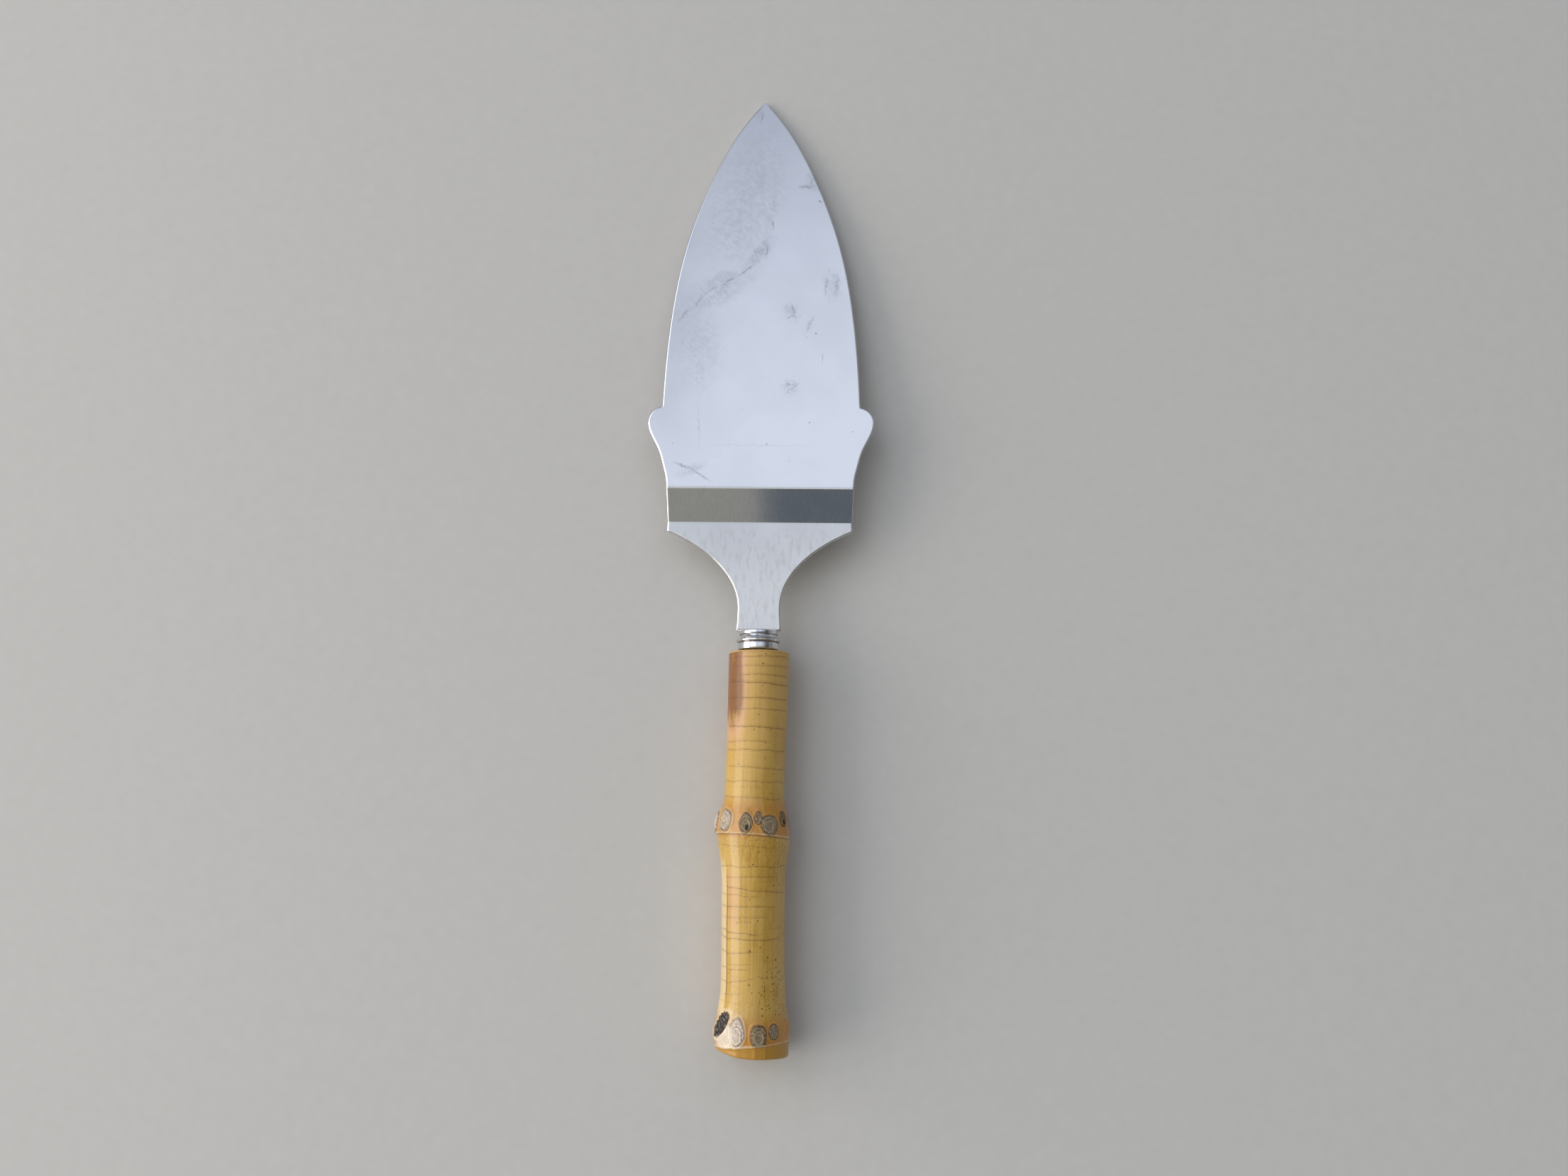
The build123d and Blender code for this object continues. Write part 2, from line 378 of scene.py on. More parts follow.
def rounded_path(corners, radii, ends):
    """A (y, z) path through corners, each one rounded with its own radius."""
    path = [ends[0]]
    stops = [ends[0], *corners, ends[1]]
    for before, corner, after, radius in zip(stops, corners, stops[2:], radii):
        c = np.array(corner)
        back = (np.array(before) - c) / np.linalg.norm(np.array(before) - c)
        on = (np.array(after) - c) / np.linalg.norm(np.array(after) - c)
        half = math.acos(np.clip(-back @ on, -1, 1)) / 2
        centre = c + (back + on) / np.linalg.norm(back + on) * radius / math.cos(half)
        start = c + back * radius * math.tan(half) - centre
        end = c + on * radius * math.tan(half) - centre
        for t in np.linspace(0, 1, 13):
            arm = start * (1 - t) + end * t
            path.append(tuple(centre + arm / np.linalg.norm(arm) * radius))
    path.append(ends[1])
    return np.array(path)


def sheet_heights(y):
    """Heights of the sheet's underside and top at y: sloping blade, short step, level neck."""
    neck = axis_height() - SHEET_T / 2
    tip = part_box("blade")[1].y / MM
    heel = neck + STEP_UP
    table = table_height()
    blade_turn = math.atan2(heel - table, tip - FOOT_Y)
    step_turn = math.atan2(STEP_UP, FOOT_Y - CREST_Y)
    over_blade = SHEET_T / math.cos(blade_turn)
    front_y = tip + PROFILE_BEYOND
    front_z = table - PROFILE_BEYOND * math.tan(blade_turn)
    under_ends = [(front_y, front_z), (PROFILE_BACK_Y, neck)]
    top_ends = [(front_y, front_z + over_blade), (PROFILE_BACK_Y, neck + SHEET_T)]
    shift = SHEET_T * math.tan((blade_turn - step_turn) / 2)
    top_foot = (FOOT_Y + shift, heel + over_blade - shift * math.tan(blade_turn))
    top_crest = (CREST_Y - SHEET_T * math.tan(step_turn / 2), neck + SHEET_T)
    under = rounded_path([(FOOT_Y, heel), (CREST_Y, neck)], [FOOT_R, CREST_R], under_ends)
    top = rounded_path([top_foot, top_crest], [FOOT_R + SHEET_T, CREST_R - SHEET_T], top_ends)
    low = np.interp(-y, -under[:, 0], under[:, 1])
    high = np.interp(-y, -top[:, 0], top[:, 1])
    return low, high


def outward(line):
    """Mitred outward directions along a half outline that runs down the right side."""
    mirrored = line[1] * (-1, 1)
    ahead = np.vstack([line[1:], line[-1] + (-1, 0)])
    behind = np.vstack([mirrored, line[:-1]])
    out = []
    for b, p, a in zip(behind, line, ahead):
        d1 = (p - b) / np.linalg.norm(p - b)
        d2 = (a - p) / np.linalg.norm(a - p)
        n1 = np.array((-d1[1], d1[0]))
        n2 = np.array((-d2[1], d2[0]))
        middle = (n1 + n2) / np.linalg.norm(n1 + n2)
        out.append(middle / max(middle @ n1, 0.6))
    return np.array(out)


def run_down(places):
    """The same places, each one kept at least a little below the one before it."""
    out = places.copy()
    for i in range(1, len(out)):
        out[i] = min(out[i], out[i - 1] - 0.01)
    return out


def edge_profile():
    """Rounded edge of the sheet as (inset, share of the thickness), from the top to the underside."""
    share = EDGE_R / SHEET_T
    quarter = np.linspace(0, math.pi / 2, EDGE_STEPS)
    top = [(EDGE_R * (1 - math.sin(q)), 1 - share * (1 - math.cos(q))) for q in quarter]
    bottom = [(d, 1 - h) for d, h in reversed(top)]
    return [(EDGE_R + SUPPORT, 1.0), *top, *bottom, (EDGE_R + SUPPORT, 0.0)]


def sheet_points(line, profile):
    """The skin's points as (x, y, share of the thickness), with their numbers by ring, row, column."""
    normal = outward(line)
    ease = np.clip(line[:, 0] / TIP_EASE, 0, 1)[:, None]
    across = np.linspace(-1, 1, BLADE_COLUMNS + 1)
    flat_rings = (0, len(profile) - 1)
    points, index = [], {}
    for ring, (inset, share) in enumerate(profile):
        edge = line - normal * inset * ease
        edge[:, 1] = run_down(edge[:, 1])
        for i, (x, y) in enumerate(edge):
            at_end = i == len(line) - 1
            for j, u in enumerate(across):
                if ring in flat_rings or at_end or j in (0, BLADE_COLUMNS):
                    index[ring, i, j] = len(points)
                    points.append((max(x, 0) * u, y, share))
    return np.array(points), index


def sheet_faces(index, rows, rings):
    """The skin's quads: its rounded edge on both sides, the neck's end, and the two flat faces."""
    right = BLADE_COLUMNS
    end = rows - 1
    under = rings - 1
    quads = []
    for r in range(under):
        for i in range(end):
            quads.append(((r, i, right), (r, i + 1, right), (r + 1, i + 1, right), (r + 1, i, right)))
            quads.append(((r, i + 1, 0), (r, i, 0), (r + 1, i, 0), (r + 1, i + 1, 0)))
        for j in range(right):
            quads.append(((r, end, j + 1), (r, end, j), (r + 1, end, j), (r + 1, end, j + 1)))
    for i in range(end):
        for j in range(right):
            quads.append(((0, i, j), (0, i + 1, j), (0, i + 1, j + 1), (0, i, j + 1)))
            quads.append(((under, i, j + 1), (under, i + 1, j + 1), (under, i + 1, j), (under, i, j)))
    return [[index[corner] for corner in quad] for quad in quads]


def make_blade():
    """The sheet: two fields of quads for its faces, joined by a rounded edge."""
    line = fine_half_outline()
    profile = edge_profile()
    flat, index = sheet_points(line, profile)
    faces = sheet_faces(index, len(line), len(profile))
    low, high = sheet_heights(flat[:, 1])
    wave = ripple(np.random.default_rng(5), 6, 1, 3)
    warp = (wave(flat[:, 0] * 0.03, flat[:, 1] * 0.06) + 1.5) * WARP_HEIGHT
    z = low + (high - low) * flat[:, 2] + warp * smoothstep(FOOT_Y, WARP_FULL_Y, flat[:, 1])
    points = np.column_stack([flat[:, :2], z]).tolist()
    add_stub(points, faces)
    piece = make_object("blade_sheet", points, faces)
    face_outwards(piece, join=True)
    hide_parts("blade")
    return piece


def add_stub(points, faces):
    """The narrow end of the sheet inside the ferrule, as a closed bar behind the neck."""
    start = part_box("ferrule")[1].y / MM
    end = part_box("blade")[0].y / MM
    middle = axis_height()
    half_t = SHEET_T / 2
    first = len(points)
    for y in (start + 0.02, end):
        for x, z in ((-1, -half_t), (1, -half_t), (1, half_t), (-1, half_t)):
            points.append((x * STUB_HALF_W, y, middle + z))
    for face in ((0, 1, 2, 3), (7, 6, 5, 4), (0, 4, 5, 1), (1, 5, 6, 2), (2, 6, 7, 3), (3, 7, 4, 0)):
        faces.append([first + k for k in face])


# ---------------------------------------------------------------- the ferrule

def make_ferrule():
    """Plated collar turned round the handle's axis: rim, groove, flare, bead, band, hollow inside."""
    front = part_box("ferrule")[1].y / MM
    axis = axis_height()
    section = [np.array(p) for p in smooth_run(FERRULE_OUTSIDE, FERRULE_STEP) + FERRULE_INSIDE]
    turn = np.linspace(0, 2 * np.pi, FERRULE_COLUMNS, endpoint=False)
    points, grime = [], []
    for radius, depth in section:
        dirt = sum(bell(depth - place, width) for place, width in GRIME)
        for a in turn:
            points.append((radius * math.sin(a), front - depth, axis + radius * math.cos(a)))
            grime.append(min(dirt, 1))
    faces = ring_faces(len(section), FERRULE_COLUMNS, closed=True)
    piece = make_object("ferrule_turned", points, faces)
    add_values(piece, "grime", grime)
    mark_sharp(piece, 50)
    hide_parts("ferrule")
    return piece


# ---------------------------------------------------------------- the handle

def handle_rows():
    """Places along the stalk for its rows of points, closer at the nodes and the checks."""
    lines = [c[0] + d for c in CHECKS for d in CHECK_OFFSETS]
    lines += [r + d for r in (RIDGE_MID, RIDGE_BUTT + 0.3) for d in RIDGE_OFFSETS]
    rows = []
    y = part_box("bamboo_handle")[1].y / MM - ROW_COARSE
    while y > RIDGE_BUTT:
        fine = RIDGE_MID - 0.8 < y < MID_NODE_FRONT or y < BUTT_NODE_FRONT
        if min(abs(y - c) for c in lines) > 0.08:
            rows.append(y)
        y -= ROW_FINE if fine else ROW_COARSE
    rows = sorted(set(round(r, 3) for r in rows + lines), reverse=True)
    return [r for i, r in enumerate(rows) if (i == 0 or rows[i - 1] - r > 0.03) and r >= RIDGE_BUTT]


def guide_lines(angle):
    """The lines that rows of points follow round the stalk: every check and both ridges."""
    turn = np.radians(angle)
    rng = np.random.default_rng(12)
    guides = [(FRONT_Y, np.zeros_like(turn))]
    for place, lean, *_ in CHECKS:
        wobble = ripple(rng, 5, 2, 9)
        jag = ripple(rng, 6, 10, 34)
        line = lean * np.sin(turn) + 0.1 * wobble(turn) + 0.035 * jag(turn)
        if -150 < place < -136:
            # These checks jump a little where the groove splits them.
            left = smoothstep(GROOVE_ANGLE + 1, GROOVE_ANGLE - 3, angle) * smoothstep(-150, -130, angle)
            line = line + 0.45 * left
        guides.append((place, line))
    mid = -0.45 + 1.05 * np.cos(np.radians(angle + 38)) + 0.03 * ripple(rng, 6, 8, 30)(turn)
    butt = -0.1 + 0.85 * np.sin(np.radians(angle + 15)) + 0.03 * ripple(rng, 6, 8, 30)(turn)
    beyond = RIDGE_BUTT - 5.6
    guides += [(RIDGE_MID, mid), (RIDGE_BUTT, butt), (beyond, butt)]
    return sorted(guides, key=lambda guide: -guide[0])


def row_places(rows, angle):
    """Real places along the handle of all the rows' points."""
    guides = guide_lines(angle)
    stops = [-guide[0] for guide in guides]
    lines = np.array([guide[1] for guide in guides])
    shift = [np.interp(-rows, stops, lines[:, j]) for j in range(len(angle))]
    return rows[:, None] + np.array(shift).T


def scar_fields(y, angle, radius):
    """Relief of all root scars, and the marks that their colour is made from."""
    relief = np.zeros_like(y)
    reach_of = np.full_like(y, 2.0)
    marks = {name: np.zeros_like(y) for name in ("disc_x", "disc_y", "pale", "pit")}
    marks["disc_x"] += 3
    rng = np.random.default_rng(21)
    for centre, place, half_w, half_l, height, paleness, pit in SCARS:
        wobble = ripple(rng, 4, 1, 4)
        across = np.radians(angle_gap(angle, centre)) * radius / half_w
        down = (y - place) / half_l
        bearing = np.arctan2(down, across)
        reach = np.hypot(across, down) * (1 + 0.045 * wobble(bearing))
        disc_x = (across - rng.uniform(-0.1, 0.16)) / 0.56
        disc_y = (down + rng.uniform(0.14, 0.26)) / 0.6
        disc = np.hypot(disc_x, disc_y)
        inside = 1 - smoothstep(0.97, 1.07, reach)
        dome = height * (1 - smoothstep(0.6, 1.35, reach))
        pucker = 0.1 * bell(reach - 1.17, 0.13) - 0.08 * bell(reach - 1.02, 0.06)
        dish = 0.07 * bell(disc - 0.95, 0.12) - 0.1 * (1 - smoothstep(0.78, 0.95, disc))
        dish = dish - 0.07 * bell(disc - 1.16, 0.09) + 0.05 * bell(disc - 0.5, 0.1)
        hole = -0.25 * pit * bell(np.hypot(disc_x - 0.3, disc_y + 0.35), 0.3)
        relief = np.maximum(relief, dome) + pucker + inside * (dish + hole)
        nearest = reach < reach_of
        reach_of = np.minimum(reach_of, reach)
        for name, value in (("disc_x", disc_x), ("disc_y", disc_y), ("pale", paleness), ("pit", pit)):
            marks[name] = np.where(nearest & (reach < 1.6), value, marks[name])
    for centre, place, half_w, half_l, height in SWELLINGS:
        across = np.radians(angle_gap(angle, centre)) * radius / half_w
        relief = relief + height * bell(np.hypot(across, (y - place) / half_l), 0.8)
    marks["reach"] = reach_of
    return relief, marks


def burn_reach(y, angle, radius):
    """Distance from the middle of the burnt patch, 1 at its edge."""
    centre, place, half_w, half_l, tilt = BURN
    across = np.radians(angle_gap(angle, centre)) * radius
    down = y - place
    c, s = math.cos(math.radians(tilt)), math.sin(math.radians(tilt))
    u = (across * c - down * s) / half_w
    v = (across * s + down * c) / half_l
    rag = ripple(np.random.default_rng(3), 5, 1, 5)
    return np.hypot(u, v) * (1 + 0.06 * rag(np.arctan2(v, u)))


def check_mask(rows, angle):
    """Depth of the checks: each one runs over its own span, and some carry on round the back."""
    rng = np.random.default_rng(30)
    turn = np.radians(angle)
    back = smoothstep(80, 100, np.abs(angle))
    mask = np.zeros((len(rows), len(angle)))
    for place, _, first, last, strength in CHECKS:
        front = smoothstep(first - 8, first + 5, angle) * (1 - smoothstep(last - 9, last + 8, angle))
        behind = smoothstep(-0.1, 0.5, ripple(rng, 3, 1, 3)(turn))
        shown = front * (1 - back) + behind * back
        broken = 0.82 + 0.16 * ripple(rng, 5, 9, 40)(turn)
        line = bell(rows - place, 0.11)
        mask = np.maximum(mask, line[:, None] * (shown * broken * strength)[None, :])
    return np.clip(mask, 0, 1)


def ridge_marks(rng, v, a):
    """The two node ridges, the ditch behind each, whose dark line is painted shade of the ridge, and the
    row of pale beads on the butt's ridge.
    """
    turn = np.radians(a)
    ridge = bell(v - RIDGE_MID, 0.15) + bell(v - RIDGE_BUTT - 0.3, 0.17)
    shaded_ditch = bell(v - RIDGE_MID + 0.36, 0.16) + bell(v - RIDGE_BUTT + 0.1, 0.14)
    worn = 0.75 + 0.3 * ripple(rng, 7, 10, 40)(turn)
    beads = (0.5 + 0.5 * np.sin(turn * 108)) * bell(angle_gap(a, -32), 40)
    beads = beads * bell(v - RIDGE_BUTT - 0.55, 0.2)
    relief = 0.11 * ridge * worn + 0.05 * beads - 0.06 * shaded_ditch
    ridge = np.clip(ridge, 0, 1) * np.clip(worn, 0, 1)
    return relief, {"ridge": ridge, "shaded_ditch": np.clip(shaded_ditch, 0, 1), "beads": beads}


def groove_marks(rng, v, a):
    """The groove, the flat strip beside it, and the cream skin on that strip."""
    edge = GROOVE_ANGLE + 0.5 * ripple(rng, 5, 1, 6)(v * 0.12)
    gap = angle_gap(a, edge)
    front, back = GROOVE_SPAN
    span = smoothstep(back - 4, back + 3, v) * (1 - smoothstep(front - 5, front, v))
    groove = bell(gap, 1.6) * span
    facet = np.clip(np.sin(np.radians((edge - a) * 180 / FACET_ANGLE)), 0, 1)
    facet = facet * (a < edge) * (a > edge - FACET_ANGLE)
    cream = smoothstep(0, 2.5, -gap) * smoothstep(-75, -45, gap) * smoothstep(-160, -156, v)
    cream = cream * (1 - smoothstep(front - 3, front + 3, v))
    return 0.1 * groove + 0.22 * facet * span, {"groove": groove, "cream": cream}


def skin_marks(v, a, y):
    """Stain at the front left, pink streak that is partly painted sheen, bleached patch at the butt, and
    the crowd of specks.
    """
    stain = smoothstep(-12, -42, a) * smoothstep(-150, -110, a) * smoothstep(-95, -78, v)
    # The pink streak runs along the band where the window's highlight falls: partly a pink tinge of the
    # skin, partly painted sheen.
    pink = smoothstep(-55, -50, a) * smoothstep(-24, -30, a)
    pink = pink * smoothstep(-139, -135, v) * smoothstep(-121, -125, v)
    bleach = np.hypot(angle_gap(a, -50) * 0.16 / 3.9, (y + 162.0) / 3.1)
    specks = smoothstep(2, 22, a) * smoothstep(90, 62, a)
    specks = specks * smoothstep(-141, -150, v) * smoothstep(-158.5, -156, v)
    return {"stain": stain, "pink": pink, "bleach": 1 - smoothstep(0.8, 1.15, bleach), "specks": specks}


def handle_field(rows, angle):
    """Place, radius and colour marks of every point of the stalk."""
    y = row_places(rows, angle)
    v, a = np.meshgrid(rows, angle, indexing="ij")
    turn = np.radians(a)
    rng = np.random.default_rng(4)
    oval = 0.06 * np.cos(2 * turn + 0.8) + 0.025 * ripple(rng, 4, 1, 3)(turn, v * 0.06)
    flutes = 0.006 * ripple(rng, 8, 14, 40)(turn, v * 0.03)
    flutes = flutes + 0.003 * ripple(rng, 6, 40, 80)(turn, v * 0.03)
    radius = along(STALK, v) + oval + flutes
    scar_relief, marks = scar_fields(y, a, radius)
    scar = 1 - smoothstep(0.98, 1.1, marks["reach"])
    burn = burn_reach(y, a, radius)
    burnt = 1 - smoothstep(0.85, 1.02, burn)
    check = check_mask(rows, angle) * (1 - scar) * (1 - burnt)
    ridge_relief, ridges = ridge_marks(rng, v, a)
    groove_depth, groove = groove_marks(rng, v, a)
    pock = ripple(rng, 8, 10, 60)
    radius = radius + scar_relief + ridge_relief - 0.06 * check - groove_depth
    radius = radius - burnt * (0.3 + 0.13 * pock(turn, v * 3.5)) + 0.12 * bell(burn - 1.15, 0.12)
    marks.update({"burn": burn, "check": check, **ridges, **groove, **skin_marks(v, a, y)})
    marks.update({"arc": a * ARC, "cap": np.zeros_like(v), "grain": np.zeros_like(v)})
    return y, radius, marks


def butt_end(angle):
    """Where the butt is cut off, by angle: sawn a little askew, and much shorter on its left."""
    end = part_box("bamboo_handle")[0].y / MM
    turn = np.radians(angle)
    sawn = end + 0.75 + 0.7 * np.cos(turn) - 0.2 * np.sin(turn)
    short = 1.35 * bell(angle_gap(angle, -75), 42)
    return sawn + short


def cap_rings(angle, start_y, start_r):
    """Rings of the butt beyond its ridge: a nearly straight skin, then a rounded edge."""
    end = butt_end(angle)
    length = start_y - end
    corner = np.minimum(0.75, 0.6 * length)
    skin = start_r - 0.12 - 0.04 * length
    rings = []
    for t in (0.12, 0.24, 0.4, 0.6, 0.8, 1.0):
        y = start_y - (length - corner) * t
        rings.append((y, start_r + (skin - start_r) * min(1, t * 2), 1.0, 0.0))
    for q in np.linspace(0.25, 1.5, 6):
        y = end + corner * (1 - math.sin(q))
        rings.append((y, skin - corner * (1 - math.cos(q)), 1.0, smoothstep(0.9, 1.5, q)))
    return rings


class Rings:
    """Rings of points round the handle's axis: each one's place, radius and colour marks."""

    # What a mark is where the stalk's own field does not reach. The others are 0 there.
    AWAY = {"reach": 2.0, "burn": 3.0, "disc_x": 3.0}

    def __init__(self, angle, y, radius, marks):
        self.angle = angle
        self.y = list(y)
        self.radius = list(radius)
        self.marks = {name: list(values) for name, values in marks.items()}

    def add(self, place, radius, at_front=False, **given):
        """One more ring behind the last, or before the first."""
        spot = 0 if at_front else len(self.y)
        shape = self.angle.shape
        self.y.insert(spot, np.broadcast_to(place, shape).copy())
        self.radius.insert(spot, np.broadcast_to(radius, shape).copy())
        for name, rows in self.marks.items():
            rows.insert(spot, np.full(shape, float(given.get(name, self.AWAY.get(name, 0)))))


def add_butt(rings):
    """The skin behind the last ridge, and the sawn face."""
    for place, radius, cap, grain in cap_rings(rings.angle, rings.y[-1].copy(), rings.radius[-1].copy()):
        rings.add(place, radius, cap=cap, grain=grain)
    rim_y, rim_r = rings.y[-1].copy(), rings.radius[-1].copy()
    middle = rim_y.mean()
    for share in (0.97, 0.9, 0.75, 0.55, 0.35, 0.15, 0.02):
        rings.add(middle + (rim_y - middle) * share, rim_r * share, cap=0.3, grain=1)


def add_front(rings, front):
    """The rounded front edge, the front face, and the blind bore."""
    first = rings.radius[0].copy()
    for back, inset in ((0.42, 0.03), (0.27, 0.1), (0.13, 0.23), (0.04, 0.38), (0.0, 0.55)):
        rings.add(front - back, first - inset, True, grain=smoothstep(0.1, 0.5, inset))
    for radius in (7.0, 6.2, 5.4, 4.6, 3.8, BORE_R):
        rings.add(front, radius, True, grain=1)
    for place in (front - 0.6, (front + BORE_END) / 2, BORE_END + 0.6, BORE_END):
        rings.add(place, BORE_R, True, grain=1)
    rings.add(BORE_END, 0.05, True, grain=1)


def make_handle():
    """The bamboo: stalk, skewed butt, front face and blind bore, as one closed skin."""
    axis = axis_height()
    angle = np.linspace(-180, 180, HANDLE_COLUMNS, endpoint=False)
    rings = Rings(angle, *handle_field(np.array(handle_rows()), angle))
    add_butt(rings)
    add_front(rings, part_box("bamboo_handle")[1].y / MM)
    y, radius = np.array(rings.y), np.array(rings.radius)
    turn = np.radians(angle)[None, :]
    x = along(SWAY, y) * (radius > BORE_R + 1.5) + radius * np.sin(turn)
    z = np.maximum(axis + radius * np.cos(turn), table_height())
    points = np.stack([x, y, z], -1).reshape(-1, 3)
    faces = ring_faces(len(y), HANDLE_COLUMNS)
    faces.append(list(range(HANDLE_COLUMNS))[::-1])
    last = (len(y) - 1) * HANDLE_COLUMNS
    faces.append(list(range(last, last + HANDLE_COLUMNS)))
    piece = make_object("bamboo_stalk", points, faces)
    for name, values in rings.marks.items():
        add_values(piece, name, values)
    face_outwards(piece)
    mark_sharp(piece, 55)
    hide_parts("bamboo_handle")
    return piece


# ---------------------------------------------------------------- node helpers

def srgb(red, green, blue):
    """Screen colour from 0 to 255 as the linear colour that a shader takes."""
    def linear(c):
        c = c / 255
        return c / 12.92 if c <= 0.04045 else ((c + 0.055) / 1.055) ** 2.4
    return (linear(red), linear(green), linear(blue), 1.0)


class Tree:
    """Short calls for building shader nodes."""

    def __init__(self, node_tree):
        self.nodes = node_tree.nodes
        self.links = node_tree.links
        self.nodes.clear()

    def add(self, kind, inputs=None, **settings):
        node = self.nodes.new(kind)
        for key, value in settings.items():
            setattr(node, key, value)
        for key, value in (inputs or {}).items():
            self.feed(node.inputs[key], value)
        return node

    def feed(self, socket, value):
        if isinstance(value, bpy.types.NodeSocket):
            self.links.new(value, socket)
        else:
            socket.default_value = value

    def split(self, vector):
        return self.add("ShaderNodeSeparateXYZ", {0: vector}).outputs

    def join(self, x, y, z=0.0):
        return self.add("ShaderNodeCombineXYZ", {0: x, 1: y, 2: z}).outputs[0]

    def length(self, vector):
        return self.add("ShaderNodeVectorMath", {0: vector}, operation="LENGTH").outputs["Value"]

    def math(self, operation, a, b=0.0, clamp=False):
        return self.add("ShaderNodeMath", {0: a, 1: b}, operation=operation, use_clamp=clamp).outputs[0]

    def plus(self, a, b, clamp=False):
        return self.math("ADD", a, b, clamp)

    def minus(self, a, b, clamp=False):
        return self.math("SUBTRACT", a, b, clamp)

    def product(self, first, *others):
        for value in others:
            first = self.math("MULTIPLY", first, value)
        return first

    def most(self, first, *others):
        for value in others:
            first = self.math("MAXIMUM", first, value)
        return first

    def span(self, value, low, high, to_low=0.0, to_high=1.0):
        inputs = {"Value": value, "From Min": low, "From Max": high, "To Min": to_low, "To Max": to_high}
        return self.add("ShaderNodeMapRange", inputs, interpolation_type="SMOOTHSTEP").outputs[0]

    def band(self, value, centre, width):
        """1 where value is centre, falling to 0 a width away."""
        gap = self.math("ABSOLUTE", self.math("SUBTRACT", value, centre))
        return self.span(gap, width, 0.0)

    def mix(self, factor, a, b, blend="MIX"):
        node = self.add("ShaderNodeMix", data_type="RGBA", blend_type=blend)
        self.feed(node.inputs[0], factor)
        self.feed(node.inputs[6], a)
        self.feed(node.inputs[7], b)
        return node.outputs[2]

    def noise(self, vector, scale=1.0, detail=3.0, roughness=0.5, distortion=0.0):
        inputs = {"Vector": vector, "Scale": scale, "Detail": detail, "Roughness": roughness,
                  "Distortion": distortion}
        return self.add("ShaderNodeTexNoise", inputs).outputs["Fac"]


class Paint(Tree):
    """A material: its surface, its colour so far, and the place on the object in millimetres."""

    def __init__(self, name):
        self.material = bpy.data.materials.new(name)
        self.material.use_nodes = True
        super().__init__(self.material.node_tree)
        self.colour = None
        self.surface = self.add("ShaderNodeBsdfPrincipled")
        output = self.add("ShaderNodeOutputMaterial")
        self.links.new(self.surface.outputs[0], output.inputs["Surface"])
        place = self.add("ShaderNodeTexCoord").outputs["Object"]
        scale = self.add("ShaderNodeVectorMath", {0: place, "Scale": 1 / MM}, operation="SCALE")
        self.place = scale.outputs[0]

    def cover(self, mask, tint):
        """Lays a tint over the colour so far, as far as the mask goes."""
        self.colour = self.mix(mask, self.colour, tint)

    def finish(self, **inputs):
        """Connects the surface, with the colour so far as its base colour."""
        self.feed(self.surface.inputs["Base Color"], self.colour)
        for key, value in inputs.items():
            self.feed(self.surface.inputs[key.replace("_", " ")], value)
        return self.material

    def mark(self, name):
        return self.add("ShaderNodeAttribute", attribute_name=name).outputs["Fac"]

    def stretch(self, x, y, z, vector=None):
        inputs = {0: vector or self.place, 1: (x, y, z)}
        return self.add("ShaderNodeVectorMath", inputs, operation="MULTIPLY").outputs[0]

    def bump(self, height, distance, strength=1.0):
        inputs = {"Height": height, "Distance": distance * MM, "Strength": strength}
        return self.add("ShaderNodeBump", inputs).outputs[0]


# ---------------------------------------------------------------- steel

# Matt smudges on the blade as (x, y, half width, half length, turn in degrees, strength).
SMUDGES = [
    (-13.0, 36.0, 5.2, 14.0, -58.0, 0.7),
    (-20.0, 29.0, 5.0, 10.0, -32.0, 0.6),
    (-0.9, 47.8, 2.6, 7.0, -40.0, 0.8),
    (2.3, 60.2, 1.7, 9.5, -12.0, 0.5),
    (-4.6, 64.4, 11.0, 26.0, -14.0, 0.5),
    (-18.4, 17.5, 8.0, 15.0, 0.0, 0.5),
    (14.6, 70.5, 3.0, 3.6, 30.0, 0.8),
    (12.4, 69.2, 3.0, 1.0, 10.0, 0.5),
    (-18.5, -17.8, 1.3, 4.6, -62.0, 0.75),
    (-2.0, 92.8, 2.0, 3.4, 10.0, 0.45),
    (8.2, 6.2, 2.8, 2.8, 0.0, 0.6),
    (8.2, 29.1, 2.6, 3.6, 20.0, 0.55),
    (13.2, 25.6, 1.2, 3.2, -22.0, 0.3),
    (19.4, 37.5, 3.0, 5.2, 6.0, 0.6),
]
